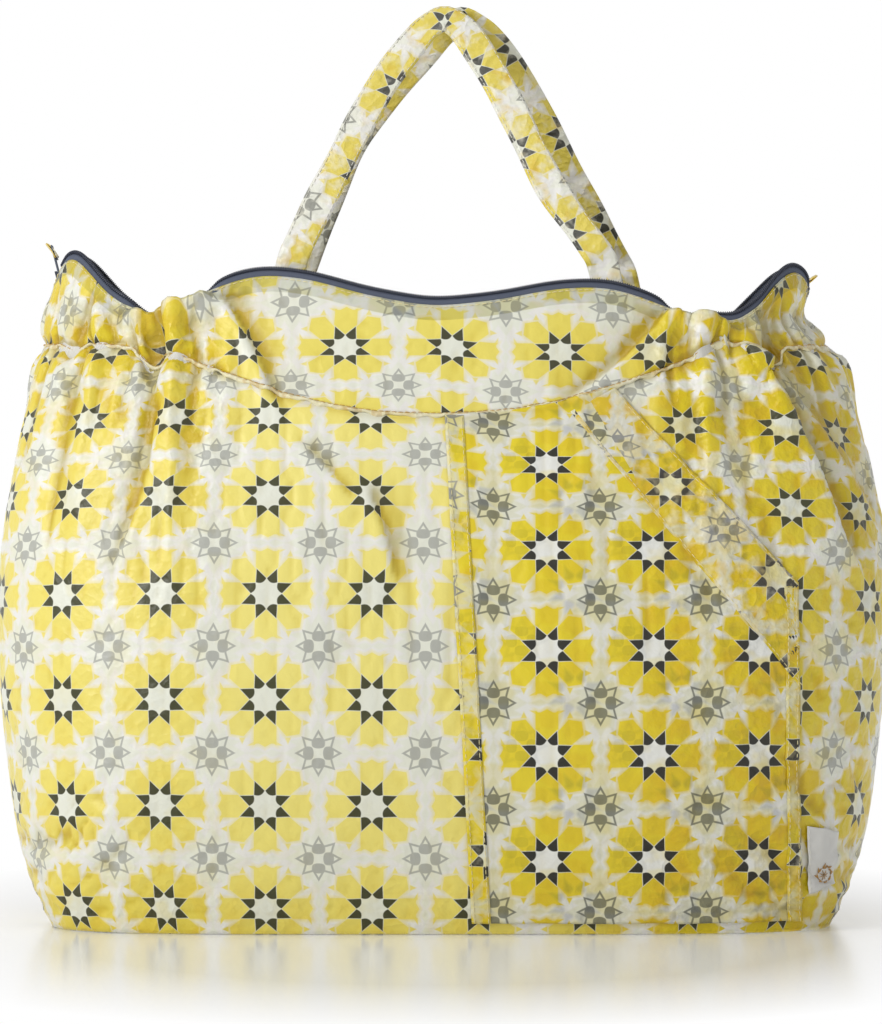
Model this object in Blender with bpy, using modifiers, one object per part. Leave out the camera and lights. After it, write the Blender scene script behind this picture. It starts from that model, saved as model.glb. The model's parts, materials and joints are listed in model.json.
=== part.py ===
"""A foldable tote bag of thin printed cloth, standing open and full.

Metres, +Z up, origin on the floor under the middle of the bag. The front, with the slanted patch pocket, faces -Y.

The body is two panels that wrap round to a seam at the middle of each end, on an oval base. An elasticated seam
joins them to an upper band, whose mouth edge carries a coil zip that is fully open. Two strap handles come out of
the mouth. Every cloth piece lies on one lofted skin at its own depth, so neighbours nest with a small gap.
"""

import bisect
import functools
import math

import bpy
from mathutils import Matrix, Vector

# ---------------------------------------------------------------- driving dimensions
MM = 0.001
GAP = 0.3 * MM  # left between any two pieces that touch
LAYER = 0.6 * MM  # left between cloth layers that follow the same curve
CLOTH = 1.2 * MM  # panels and bands, drawn thicker than the real cloth
LINING = 0.8 * MM  # facings, bindings and hems
TAPE = 0.6 * MM
STRAP_WIDTH = 15 * MM
STRAP_THICK = 1.2 * MM
COIL_RADIUS = 1.1 * MM
ZIP_STANDS = 5.5 * MM  # how far the zip stands above the band's own edge
FACING_DEEP = 17 * MM
TAPE_DEEP = 6 * MM
TAPE_INSET = CLOTH + LAYER
FACING_INSET = TAPE_INSET + TAPE + LAYER
LEG_INSET = FACING_INSET + LINING + LAYER
COIL_INSET = TAPE_INSET + TAPE / 2
ELASTIC_DEEP = 10 * MM
FRONT, BACK = -1, 1

# The skin's sections: height, reach to the left, reach to the right, half depth, squareness of the corners.
SECTIONS = (
    (0.000, 0.2190, 0.2190, 0.092, 5.0),
    (0.020, 0.2280, 0.2280, 0.099, 5.0),
    (0.077, 0.2405, 0.2405, 0.107, 4.0),
    (0.190, 0.2500, 0.2500, 0.110, 3.4),
    (0.260, 0.2460, 0.2460, 0.104, 3.1),
    (0.300, 0.2380, 0.2380, 0.095, 2.8),
    (0.325, 0.2285, 0.2275, 0.086, 2.6),
    (0.345, 0.2265, 0.2165, 0.079, 2.5),
    (0.385, 0.2130, 0.2050, 0.069, 2.4),
)
# Shares of the way round a half ring at which every cloth piece is faceted, close together round the corners.
COLUMNS = (
    -1.0, -0.93, -0.87, -0.82, -0.78, -0.74, -0.70, -0.66, -0.62, -0.57, -0.50, -0.40, -0.28, -0.14, 0.0,
    0.14, 0.28, 0.40, 0.50, 0.57, 0.62, 0.66, 0.70, 0.74, 0.78, 0.82, 0.87, 0.93, 1.0,
)
# Parts of the way up a panel at which it is faceted, close together near the base.
PANEL_ROWS = (0.0, 0.03, 0.065, 0.12, 0.19, 0.27, 0.36, 0.45, 0.54, 0.63, 0.71, 0.79, 0.86, 0.93, 1.0)
# Heights along a half ring, from the left end at -1 through the middle to the right end at 1.
SEAM_HEIGHTS = (
    (-1.0, 0.327), (-0.6, 0.323), (-0.4, 0.306), (-0.2, 0.289), (0.0, 0.285),
    (0.2, 0.290), (0.4, 0.307), (0.6, 0.324), (1.0, 0.327),
)
ZIP_HEIGHTS = (
    (-1.0, 0.360), (-0.9, 0.383), (-0.63, 0.349), (-0.38, 0.370), (0.0, 0.351),
    (0.38, 0.363), (0.63, 0.342), (0.88, 0.375), (1.0, 0.352),
)

# The pocket, as (x, height) on the front: its side edge, its upper end and its slanted mouth.
POCKET_FOOT = 0.004
POCKET_LEFT = (0.017, 0.002)  # x at the foot and at the top
POCKET_RIGHT = 0.198
MOUTH_CORNER = (0.196, 0.195)
MOUTH_TOP = (0.095, 0.300)
FACING_TOP = (0.0705, 0.2865)
FACING_FOOT = (0.1975, 0.137)
HEM_WIDTH = 14 * MM

LABEL_WIDTH, LABEL_LOW, LABEL_HIGH = 25 * MM, 0.023, 0.058
LABEL_X = 0.2015

# Handle centrelines above the mouth, as (x, height), from the left foot to the right foot. The feet end on the hinge.
FRONT_ARCH = (
    (-0.083, 0.3720), (-0.0605, 0.4200), (-0.0418, 0.4580), (-0.0243, 0.4870), (0.0030, 0.5145),
    (0.0255, 0.4860), (0.0440, 0.4500), (0.0620, 0.4120), (0.0900, 0.3650),
)
BACK_ARCH = (
    (-0.0830, 0.3720), (-0.0507, 0.4460), (-0.0120, 0.4930), (0.0120, 0.5145),
    (0.0380, 0.4900), (0.0600, 0.4550), (0.0800, 0.4180), (0.1070, 0.3665),
)
ARCH_APEX = 0.523
HINGE_ABOVE_ZIP = 2.2 * MM
LEG_FOOT = 0.322  # height of the sewn lower end of each handle leg
LEG_SPREAD = 11 * MM

# The closed end of the zip, which stands up from the left end of the mouth in the plane Y = 0.
CHAIN_FOOT = Vector((-0.2165, 0.0, 0.3615))
CHAIN_TOP = Vector((-0.2225, 0.0, 0.3850))
CHAIN_WIDTH = 10 * MM
RIGHT_TAB_FOOT = Vector((0.2005, 0.0, 0.3555))
RIGHT_TAB_TOP = Vector((0.2125, 0.0, 0.3668))


# ---------------------------------------------------------------- the skin
def smooth(points, at):
    """The value at `at` on a smooth curve through (position, value, ...) points, one number or several."""
    positions = [p[0] for p in points]
    k = min(max(bisect.bisect_right(positions, at) - 1, 0), len(points) - 2)
    before, here = points[max(k - 1, 0)], points[k]
    there, after = points[k + 1], points[min(k + 2, len(points) - 1)]
    span = there[0] - here[0]
    t = min(max((at - here[0]) / span, 0.0), 1.0)
    values = []
    for i in range(1, len(here)):
        slope_here = (there[i] - before[i]) / (there[0] - before[0]) * span
        slope_there = (after[i] - here[i]) / (after[0] - here[0]) * span
        values.append(
            here[i] * (2 * t**3 - 3 * t**2 + 1) + slope_here * (t**3 - 2 * t**2 + t)
            + there[i] * (3 * t**2 - 2 * t**3) + slope_there * (t**3 - t**2)
        )
    return values[0] if len(values) == 1 else values


@functools.lru_cache(maxsize=None)
def half_ring(height):
    """The front half of the skin's section at a height, as points from left to right with their share of the way."""
    left, right, half_depth, power = smooth(SECTIONS, height)
    middle, half_width = (right - left) / 2, (right + left) / 2
    count = 240
    points = []
    for i in range(count + 1):
        angle = math.pi * i / count
        x = -math.copysign(abs(math.cos(angle)) ** (2 / power), math.cos(angle))
        y = -math.sin(angle) ** (2 / power) if 0 < i < count else 0.0
        points.append((middle + half_width * x, half_depth * y))
    lengths = [0.0]
    for a, b in zip(points, points[1:]):
        lengths.append(lengths[-1] + math.dist(a, b))
    return points, [2 * at / lengths[-1] - 1 for at in lengths], lengths[-1]


@functools.lru_cache(maxsize=None)
def column_point(column, height, inset):
    """The front skin's point at one of the columns, moved inwards by `inset`."""
    points, shares, _ = half_ring(height)
    share = COLUMNS[column]
    if abs(share) == 1.0:
        return points[0 if share < 0 else -1][0] - share * inset, 0.0
    k = bisect.bisect_right(shares, share) - 1
    (ax, ay), (bx, by) = points[k], points[k + 1]
    t = (share - shares[k]) / (shares[k + 1] - shares[k])
    along = Vector((bx - ax, by - ay)).normalized()
    return ax + (bx - ax) * t - along.y * inset, ay + (by - ay) * t + along.x * inset


def skin(share, height, side, inset=0.0):
    """The point at a share of the way from the left end (-1) to the right end (1), moved inwards by `inset`."""
    k = min(max(bisect.bisect_right(COLUMNS, share) - 1, 0), len(COLUMNS) - 2)
    t = (share - COLUMNS[k]) / (COLUMNS[k + 1] - COLUMNS[k])
    ax, ay = column_point(k, round(height, 6), round(inset, 6))
    bx, by = column_point(k + 1, round(height, 6), round(inset, 6))
    y = ay + (by - ay) * t
    return Vector((ax + (bx - ax) * t, -y if side == BACK else y, height))


def columns_between(first, last):
    """The columns between two shares, with the two themselves."""
    return [first, *(c for c in COLUMNS if first < c < last), last]


def share_at(x, height):
    """The share of the way at which the front skin reaches this x."""
    points, shares, _ = half_ring(round(height, 6))
    k = min(max(bisect.bisect_right([p[0] for p in points], x) - 1, 0), len(points) - 2)
    t = (x - points[k][0]) / (points[k + 1][0] - points[k][0])
    return shares[k] + (shares[k + 1] - shares[k]) * t


def at_x(x, height, side, inset=0.0):
    """The point of the skin above this x and height, moved inwards."""
    return skin(share_at(x, height), height, side, inset)


def seam_height(share):
    return smooth(SEAM_HEIGHTS, share)


def zip_height(share):
    return smooth(ZIP_HEIGHTS, share)


def edge_height(share):
    """Height of the band's own mouth edge, under the zip."""
    return zip_height(share) - ZIP_STANDS


# ---------------------------------------------------------------- making objects
def make_collection(name, parent):
    collection = bpy.data.collections.new(name)
    parent.children.link(collection)
    return collection


def make_material(name, colour, roughness, metallic=0.0):
    material = bpy.data.materials.new(name)
    material.use_nodes = True
    shader = material.node_tree.nodes["Principled BSDF"]
    shader.inputs["Base Color"].default_value = (*colour, 1.0)
    shader.inputs["Roughness"].default_value = roughness
    shader.inputs["Metallic"].default_value = metallic
    return material


def add_object(name, data, material, collection):
    made = bpy.data.objects.new(name, data)
    made.data.materials.append(material)
    collection.objects.link(made)
    return made


def sheet(name, material, rows, thickness, closed=False):
    """A cloth piece: a grid of points on its outer face, thickened away from the outside."""
    mesh = bpy.data.meshes.new(name)
    across = len(rows[0])
    faces = []
    for j in range(len(rows) - 1):
        for i in range(across if closed else across - 1):
            k = (i + 1) % across
            faces.append((j * across + i, j * across + k, (j + 1) * across + k, (j + 1) * across + i))
    mesh.from_pydata([p for row in rows for p in row], [], faces)
    mesh.shade_smooth()
    made = add_object(name, mesh, material, parts)
    shell = made.modifiers.new("cloth", "SOLIDIFY")
    shell.thickness = thickness
    shell.offset = -1
    return made


def spread(first, last, count):
    return [first + (last - first) * i / (count - 1) for i in range(count)]


def skin_sheet(name, material, shares, low, high, levels, side, inset, thickness):
    """A sheet on the skin between two edges, each a function of the share of the way, faceted at these levels."""
    rows = []
    for t in levels:
        rows.append([skin(s, low(s) + (high(s) - low(s)) * t, side, inset) for s in shares])
    if side == BACK:
        rows = [row[::-1] for row in rows]
    return sheet(name, material, rows, thickness)


def patch(name, material, low_edge, high_edge, columns, levels, outset, thickness):
    """A sheet on the front skin between two edges, each a function of t that gives (x, height)."""
    rows = []
    for v in levels:
        row = []
        for u in columns:
            (ax, az), (bx, bz) = low_edge(u), high_edge(u)
            row.append(at_x(ax + (bx - ax) * v, az + (bz - az) * v, FRONT, -outset))
        rows.append(row)
    return sheet(name, material, rows, thickness)


def tube(name, material, points, radius):
    """A round rod along a polyline."""
    curve = bpy.data.curves.new(name, "CURVE")
    curve.dimensions = "3D"
    curve.bevel_depth = radius
    curve.bevel_resolution = 1
    curve.use_fill_caps = True
    spline = curve.splines.new("POLY")
    spline.points.add(len(points) - 1)
    for point, place in zip(spline.points, points):
        point.co = (*place, 1.0)
    return add_object(name, curve, material, parts)


def block(name, material, size, collection):
    """A box centred on its own origin, with its sizes in the mesh."""
    bpy.ops.mesh.primitive_cube_add(size=1.0)
    made = bpy.context.object
    made.name = name
    made.data.transform(Matrix.Diagonal((*size, 1.0)))
    made.data.materials.append(material)
    for owner in list(made.users_collection):
        owner.objects.unlink(made)
    collection.objects.link(made)
    return made


def combine(target, operation, size, centre):
    """Joins a box to the target, or cuts one from it, in the target's own axes."""
    helper = block(target.name + "_tool", target.data.materials[0], size, tools)
    helper.parent = target
    helper.location = centre
    helper.hide_render = True
    helper.display_type = "WIRE"
    step = target.modifiers.new("box", "BOOLEAN")
    step.operation = operation
    step.object = helper


def frame_along(foot, top):
    """Axes for a part that stands along foot to top: its own Y stays Y, its Z runs along, its X faces inwards."""
    up = (top - foot).normalized()
    inwards = Vector((0.0, 1.0, 0.0)).cross(up)
    if inwards.x * foot.x > 0:
        return Matrix((-inwards, Vector((0.0, -1.0, 0.0)), up)).transposed()
    return Matrix((inwards, Vector((0.0, 1.0, 0.0)), up)).transposed()


# ---------------------------------------------------------------- cloth body
def make_body(cloth):
    shares = columns_between(-0.9985, 0.9985)
    for name, side in (("front_panel", FRONT), ("back_panel", BACK)):
        skin_sheet(name, cloth, shares, lambda s: 0.0, lambda s: seam_height(s) - GAP / 2,
                   PANEL_ROWS, side, 0.0, CLOTH)
    for name, side in (("front_band", FRONT), ("back_band", BACK)):
        skin_sheet(name, cloth, shares, lambda s: seam_height(s) + GAP / 2, edge_height,
                   spread(0.0, 1.0, 6), side, 0.0, CLOTH)


def make_base(cloth):
    """The base, an oval plate inside the foot of the panels."""
    inset = CLOTH + LAYER
    outline = [skin(s, 0.0, FRONT, inset) for s in COLUMNS]
    outline += [skin(s, 0.0, BACK, inset) for s in COLUMNS[-2:0:-1]]
    curve = bpy.data.curves.new("base_panel", "CURVE")
    curve.dimensions = "2D"
    curve.fill_mode = "BOTH"
    curve.extrude = CLOTH / 2
    spline = curve.splines.new("POLY")
    spline.points.add(len(outline) - 1)
    for point, place in zip(spline.points, outline):
        point.co = (place.x, place.y, 0.0, 1.0)
    spline.use_cyclic_u = True
    made = add_object("base_panel", curve, cloth, parts)
    made.location.z = CLOTH / 2


def make_bindings(binding):
    """The tapes that bind the raw edges inside: one round the base seam, one up each side seam."""
    inset = CLOTH + LAYER
    rows = []
    for height in (1.8 * MM, 9 * MM):
        ring = [skin(s, height, FRONT, inset) for s in COLUMNS]
        ring += [skin(s, height, BACK, inset) for s in COLUMNS[-2:0:-1]]
        rows.append(ring)
    sheet("base_seam_binding", binding, rows, LINING, closed=True)
    for name, end in (("side_seam_binding_left", -1), ("side_seam_binding_right", 1)):
        rows = []
        for height in spread(12 * MM, seam_height(end) - 8 * MM, 18):
            near, far = 0.980 * end, end
            strip = [skin(near, height, FRONT, inset), skin(far, height, FRONT, inset)]
            strip.append(skin(near, height, BACK, inset))
            rows.append(strip if end > 0 else strip[::-1])
        sheet(name, binding, rows, LINING)


def make_elastics(elastic):
    """A strip round each end, behind the seam, from the front gathers to the back ones."""
    inset = CLOTH + LAYER
    shares = columns_between(0.42, 1.0)
    for name, end in (("elastic_left", -1), ("elastic_right", 1)):
        rows = []
        for rise in (-ELASTIC_DEEP / 2, 0.0, ELASTIC_DEEP / 2):
            row = [skin(end * s, seam_height(end * s) + rise, FRONT, inset) for s in shares]
            row += [skin(end * s, seam_height(end * s) + rise, BACK, inset) for s in shares[-2::-1]]
            rows.append(row if end > 0 else row[::-1])
        sheet(name, elastic, rows, LINING)


# ---------------------------------------------------------------- mouth
def make_mouth(cloth, tape, coil, metal):
    shares = columns_between(-0.99, 0.985)
    coil_shares = columns_between(-0.975, 0.952)
    for word, side in (("front", FRONT), ("back", BACK)):
        skin_sheet(word + "_band_facing", cloth, shares, lambda s: edge_height(s) - FACING_DEEP,
                   lambda s: edge_height(s) - GAP, spread(0.0, 1.0, 3), side, FACING_INSET, LINING)
        skin_sheet(word + "_zip_tape", tape, shares, lambda s: edge_height(s) - TAPE_DEEP,
                   lambda s: zip_height(s) - 2 * COIL_RADIUS - LAYER - GAP, spread(0.0, 1.0, 3), side, TAPE_INSET, TAPE)
        tube(word + "_zip_coil", coil,
             [skin(s, zip_height(s) - COIL_RADIUS, side, COIL_INSET) for s in coil_shares], COIL_RADIUS)
        stop_at = [skin(s, zip_height(s) - COIL_RADIUS, side, COIL_INSET) for s in (0.958, 0.968)]
        tube(word + "_zip_top_stop", metal, stop_at, 1.05 * COIL_RADIUS)


def make_closed_end(tape, metal, cloth):
    """The joined end of the zip with its slider, pull, stop and cloth end tab, and the tab at the other end."""
    turn = frame_along(CHAIN_FOOT, CHAIN_TOP).to_4x4()
    length = (CHAIN_TOP - CHAIN_FOOT).length
    tab_length, tab_thick = 8 * MM, 2.6 * MM
    chain_length = length - 1.2 * MM
    slider_length, slider_at = 7.6 * MM, 4.2 * MM
    stop_at = 15.0 * MM

    chain = block("zip_closed_end", tape, (TAPE, CHAIN_WIDTH, chain_length), parts)
    chain.matrix_world = Matrix.Translation(CHAIN_FOOT) @ turn @ Matrix.Translation((0, 0, chain_length / 2))
    slot = stop_at + 1.5 * MM
    combine(chain, "DIFFERENCE", (4 * TAPE, 2.0 * MM, 2 * slot), (0, 0, -chain_length / 2))

    tab = block("zip_end_tab_left", cloth, (tab_thick, CHAIN_WIDTH + 2 * MM, tab_length), parts)
    tab.matrix_world = Matrix.Translation(CHAIN_FOOT) @ turn @ Matrix.Translation((0, 0, length - tab_length / 2))
    pocket_size = (TAPE + 2 * GAP, CHAIN_WIDTH + 2 * GAP, 2 * (tab_length - 0.8 * MM))
    combine(tab, "DIFFERENCE", pocket_size, (0, 0, -tab_length / 2))

    # Two wings joined by the wedge that parts the tapes, with lips that hold the coils in.
    wing_at, wing_thick, width = 1.5 * MM, 0.9 * MM, 7.4 * MM
    slider = block("zip_slider", metal, (wing_thick, width, slider_length), parts)
    slider.matrix_world = (
        Matrix.Translation(CHAIN_FOOT) @ turn @ Matrix.Translation((wing_at, 0, slider_at))
    )
    combine(slider, "UNION", (wing_thick, width, slider_length), (-2 * wing_at, 0, 0))
    combine(slider, "UNION", (2 * wing_at, 1.3 * MM, 2.6 * MM), (-wing_at, 0, -slider_length / 2 + 1.5 * MM))
    for y in (-width / 2 + 0.4 * MM, width / 2 - 0.4 * MM):
        for x in (-0.6 * MM, -2 * wing_at + 0.6 * MM):
            combine(slider, "UNION", (0.6 * MM, 0.8 * MM, slider_length), (x, y, 0))
    bridge_half, bridge_high, bridge_wide = 2.8 * MM, 2.4 * MM, 1.5 * MM
    for z in (-bridge_half, bridge_half):
        combine(slider, "UNION", (bridge_high, bridge_wide, 0.8 * MM), (bridge_high / 2, 0, z))
    combine(slider, "UNION", (0.8 * MM, bridge_wide, 2 * bridge_half + 0.8 * MM), (bridge_high, 0, 0))

    # The pull hangs from the bridge by its cross bar, which is its hinge axis.
    bar, pull_wide, pull_length = 0.6 * MM, 5.0 * MM, 22 * MM
    hinge = (wing_at + 1.22 * MM, 0, slider_at)
    pull = block("zip_pull", metal, (bar, pull_wide, pull_length), parts)
    pull.data.transform(Matrix.Translation((0, 0, bar / 2 - pull_length / 2)))
    pull.matrix_world = Matrix.Translation(CHAIN_FOOT) @ turn @ Matrix.Translation(hinge)
    combine(pull, "DIFFERENCE", (4 * bar, 2.8 * MM, 4.6 * MM), (0, 0, -bar / 2 - 2.3 * MM))
    combine(pull, "DIFFERENCE", (4 * bar, 1.6 * MM, 5 * MM), (0, 0, -pull_length + 4.5 * MM))

    stop = block("zip_bottom_stop", metal, (1.0 * MM, 3.4 * MM, 1.6 * MM), parts)
    stop.matrix_world = (
        Matrix.Translation(CHAIN_FOOT) @ turn @ Matrix.Translation((TAPE / 2 + GAP + 0.5 * MM, 0, stop_at))
    )

    right = frame_along(RIGHT_TAB_FOOT, RIGHT_TAB_TOP).to_4x4()
    right_length = (RIGHT_TAB_TOP - RIGHT_TAB_FOOT).length
    right_tab = block("zip_end_tab_right", cloth, (1.8 * MM, CHAIN_WIDTH + 2 * MM, right_length), parts)
    right_tab.matrix_world = Matrix.Translation((RIGHT_TAB_FOOT + RIGHT_TAB_TOP) / 2) @ right


# ---------------------------------------------------------------- handles
def curve_through(points, count):
    """Points at even steps on a smooth curve through (x, height) points."""
    at = [0.0]
    for a, b in zip(points, points[1:]):
        at.append(at[-1] + math.dist(a, b))
    track = [(t, *p) for t, p in zip(at, points)]
    return [Vector(smooth(track, t)) for t in spread(0.0, at[-1], count)]


def mouth_point(x, side, inset):
    """A point at the zip's top over this x."""
    height = zip_height(share_at(x, ZIP_HEIGHTS[4][1]))
    return at_x(x, height, side, inset)


def make_handle(word, side, arch, strap):
    """One handle: the arch that swings over the mouth edge, and its two sewn legs inside the band."""
    feet = [
        mouth_point(x + dx, side, COIL_INSET)
        for x in (arch[0][0], arch[-1][0]) for dx in (-STRAP_WIDTH / 2, STRAP_WIDTH / 2)
    ]
    hinge_z = max(foot.z for foot in feet) + HINGE_ABOVE_ZIP
    line = curve_through([(arch[0][0], hinge_z), *arch[1:-1], (arch[-1][0], hinge_z)], 31)
    apex = Vector((0.0, side * 1.2 * MM, ARCH_APEX))

    # The arch is flat, in a plane that leans in from the mouth edge to meet the other handle at its top.
    base = Vector((0.0, sum(foot.y for foot in feet) / len(feet), hinge_z))
    rise = Vector((0.0, apex.y - base.y, apex.z - base.z)).normalized()
    steep = rise.z
    flat = [Vector((p.x, (p.y - base.z) / steep)) for p in line]
    inner, outer = [], []
    for k, p in enumerate(flat):
        along = (flat[min(k + 1, len(flat) - 1)] - flat[max(k - 1, 0)]).normalized()
        if k in (0, len(flat) - 1):
            along = Vector((0.0, 1.0 if k == 0 else -1.0))
        sideways = Vector((-along.y, along.x)) * STRAP_WIDTH / 2
        inner.append(p - sideways)
        outer.append(p + sideways)
    curve = bpy.data.curves.new(word + "_handle_arch", "CURVE")
    curve.dimensions = "2D"
    curve.fill_mode = "BOTH"
    curve.extrude = STRAP_THICK / 2
    outline = outer + inner[::-1]
    spline = curve.splines.new("POLY")
    spline.points.add(len(outline) - 1)
    for point, place in zip(spline.points, outline):
        point.co = (place.x, place.y, 0.0, 1.0)
    spline.use_cyclic_u = True
    made = add_object(word + "_handle_arch", curve, strap, parts)
    across = Vector((1.0, 0.0, 0.0))
    made.matrix_world = Matrix.Translation(base) @ Matrix((across, rise, across.cross(rise))).transposed().to_4x4()

    for end, foot_x, outwards in (("left", arch[0][0], -1), ("right", arch[-1][0], 1)):
        top = hinge_z - 0.5 * MM
        rows = []
        for t in spread(0.0, 1.0, 6):
            height = LEG_FOOT + (top - LEG_FOOT) * t
            middle = foot_x + outwards * LEG_SPREAD * (1 - t)
            row = [at_x(middle + dx, height, side, LEG_INSET) for dx in spread(-STRAP_WIDTH / 2, STRAP_WIDTH / 2, 3)]
            rows.append(row if side == FRONT else row[::-1])
        sheet(f"{word}_handle_leg_{end}", strap, rows, STRAP_THICK)


# ---------------------------------------------------------------- pocket and label
def pocket_left(t):
    top = seam_height(share_at(POCKET_LEFT[1], 0.285)) - 1.5 * MM
    return (
        POCKET_LEFT[0] + (POCKET_LEFT[1] - POCKET_LEFT[0]) * t,
        POCKET_FOOT + (top - POCKET_FOOT) * t,
    )


def pocket_right(t):
    """Up the sewn side edge, then along the slanted mouth."""
    corner = 0.6
    if t < corner:
        k = t / corner
        return (POCKET_RIGHT + (MOUTH_CORNER[0] - POCKET_RIGHT) * k, POCKET_FOOT + (MOUTH_CORNER[1] - POCKET_FOOT) * k)
    k = (t - corner) / (1 - corner)
    return tuple(a + (b - a) * k for a, b in zip(MOUTH_CORNER, MOUTH_TOP))


def make_pocket(cloth):
    outset = LAYER + GAP + LINING
    rows = []
    for v in PANEL_ROWS:
        (ax, az), (bx, bz) = pocket_left(v), pocket_right(v)
        rows.append([at_x(ax + (bx - ax) * u, az + (bz - az) * u, FRONT, -outset) for u in spread(0.0, 1.0, 11)])
    sheet("pocket_panel", cloth, rows, LINING)

    trim_outset = outset + LAYER + LINING

    def line(start, end):
        return lambda t: tuple(a + (b - a) * t for a, b in zip(start, end))

    patch("pocket_mouth_facing", cloth, line(FACING_FOOT, MOUTH_CORNER), line(FACING_TOP, MOUTH_TOP),
          spread(0.0, 1.0, 4), spread(0.0, 1.0, 9), trim_outset, LINING)
    foot, top = pocket_left(0.0), pocket_left(1.0)
    patch("pocket_side_hem", cloth, line((foot[0] + HEM_WIDTH, foot[1]), (top[0] + HEM_WIDTH, top[1])),
          line(foot, top),
          PANEL_ROWS, (0.0, 0.5, 1.0), trim_outset, LINING)


def make_label(satin):
    outset = 1.2 * MM
    rows = []
    for height in spread(LABEL_LOW, LABEL_HIGH, 4):
        _, _, length = half_ring(round(height, 6))
        start = share_at(LABEL_X, height)
        rows.append([skin(start + 2 * d / length, height, FRONT, -outset) for d in spread(0.0, LABEL_WIDTH, 7)])
    sheet("label", satin, rows, LINING)


def main():
    cloth = make_material("printed_cloth", (0.86, 0.80, 0.30), 0.45)
    lining = make_material("printed_cloth_inside", (0.82, 0.79, 0.45), 0.5)
    strap = make_material("strap_cloth", (0.84, 0.77, 0.32), 0.5)
    binding = make_material("binding_tape", (0.85, 0.84, 0.80), 0.7)
    elastic = make_material("elastic", (0.88, 0.87, 0.84), 0.8)
    tape = make_material("zip_tape", (0.16, 0.18, 0.26), 0.7)
    coil = make_material("zip_coil", (0.09, 0.10, 0.16), 0.35)
    metal = make_material("dark_metal", (0.10, 0.11, 0.14), 0.3, 1.0)
    satin = make_material("label_satin", (0.88, 0.87, 0.83), 0.35)
    make_body(cloth)
    make_base(cloth)
    make_bindings(binding)
    make_elastics(elastic)
    make_mouth(lining, tape, coil, metal)
    make_closed_end(tape, metal, cloth)
    make_handle("front", FRONT, FRONT_ARCH, strap)
    make_handle("back", BACK, BACK_ARCH, strap)
    make_pocket(cloth)
    make_label(satin)


for old in list(bpy.data.objects):
    bpy.data.objects.remove(old)
parts = make_collection("foldable_tote_bag", bpy.context.scene.collection)
tools = make_collection("cutters", bpy.context.scene.collection)
main()
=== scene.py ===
"""The looks of a foldable tote bag of thin printed cloth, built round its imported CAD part.

The cloth body is one grid, read off the CAD shells, gathered at the elastic seam and settled by a cloth
simulation. The panels, band, pocket, hems, tapes and stitches are all laid on that grid.
"""

import json
import math

import bpy
import numpy as np
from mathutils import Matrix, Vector
from mathutils.bvhtree import BVHTree


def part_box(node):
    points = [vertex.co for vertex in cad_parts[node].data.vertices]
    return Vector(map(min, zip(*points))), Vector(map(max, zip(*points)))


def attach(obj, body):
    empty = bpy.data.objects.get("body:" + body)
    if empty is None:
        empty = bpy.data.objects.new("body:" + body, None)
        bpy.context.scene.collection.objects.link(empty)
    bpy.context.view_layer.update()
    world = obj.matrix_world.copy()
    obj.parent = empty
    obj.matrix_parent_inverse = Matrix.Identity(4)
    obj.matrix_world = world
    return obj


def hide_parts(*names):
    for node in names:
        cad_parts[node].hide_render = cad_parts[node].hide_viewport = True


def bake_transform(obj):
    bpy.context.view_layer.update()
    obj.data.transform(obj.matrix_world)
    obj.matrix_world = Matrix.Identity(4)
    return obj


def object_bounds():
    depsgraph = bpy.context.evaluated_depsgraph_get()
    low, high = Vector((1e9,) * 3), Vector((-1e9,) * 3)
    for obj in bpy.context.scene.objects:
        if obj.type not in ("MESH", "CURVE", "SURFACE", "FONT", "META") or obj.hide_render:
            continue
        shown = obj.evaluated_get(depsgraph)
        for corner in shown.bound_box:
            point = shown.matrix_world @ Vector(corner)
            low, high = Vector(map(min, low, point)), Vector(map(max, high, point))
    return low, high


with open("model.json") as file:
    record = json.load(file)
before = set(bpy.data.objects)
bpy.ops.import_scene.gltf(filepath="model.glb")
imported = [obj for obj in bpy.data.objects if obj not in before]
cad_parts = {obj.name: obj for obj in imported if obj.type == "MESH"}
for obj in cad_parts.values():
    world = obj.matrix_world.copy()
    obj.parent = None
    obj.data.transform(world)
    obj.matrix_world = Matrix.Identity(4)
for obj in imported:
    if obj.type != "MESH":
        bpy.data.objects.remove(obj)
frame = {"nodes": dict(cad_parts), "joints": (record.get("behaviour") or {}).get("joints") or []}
cad_low, cad_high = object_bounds()

# ---------------------------------------------------------------- dimensions, in metres
MM = 0.001
HALF = 0.312  # flat cloth from the middle of the front to a side seam
FREE_HALF = 0.125  # half the stretch of seam that isn't gathered
QUARTER_COLUMNS = 72
PANEL_ROWS = 72
BAND_ROWS = 16
TURNS = 240  # directions in which the CAD shells are read
SEAM_BETWEEN, ABOVE_EDGE = (0.25, 0.345), 0.40  # heights between which the seam and the mouth edge lie
SHEET_THICK = 0.3 * MM
PITCH = 58.2 * MM  # of the print
POCKET_OUT = 1.0 * MM
HEM_OUT = 1.7 * MM
WAIST_HEIGHT, WAIST_PULL = 0.340, 11 * MM
SETTLE_FRAMES, MOST_SHIFT = 22, 8 * MM  # of the cloth simulation
STITCH_LONG, STITCH_GAP, THREAD = 2.6 * MM, 1.0 * MM, 0.22 * MM
# Cloth that small creases take up, by height, towards the left end and the right.
SLACK_AT = (0.0, 0.12, 0.16, 0.21, 0.25, 0.29, 0.33, 0.42)
LEFT_SLACK = (0.0, 0.0, 0.0, 1 * MM, 6 * MM, 20 * MM, 33 * MM, 37 * MM)
RIGHT_SLACK = (0.0, 0.0, 1 * MM, 4 * MM, 13 * MM, 26 * MM, 36 * MM, 40 * MM)


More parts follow.
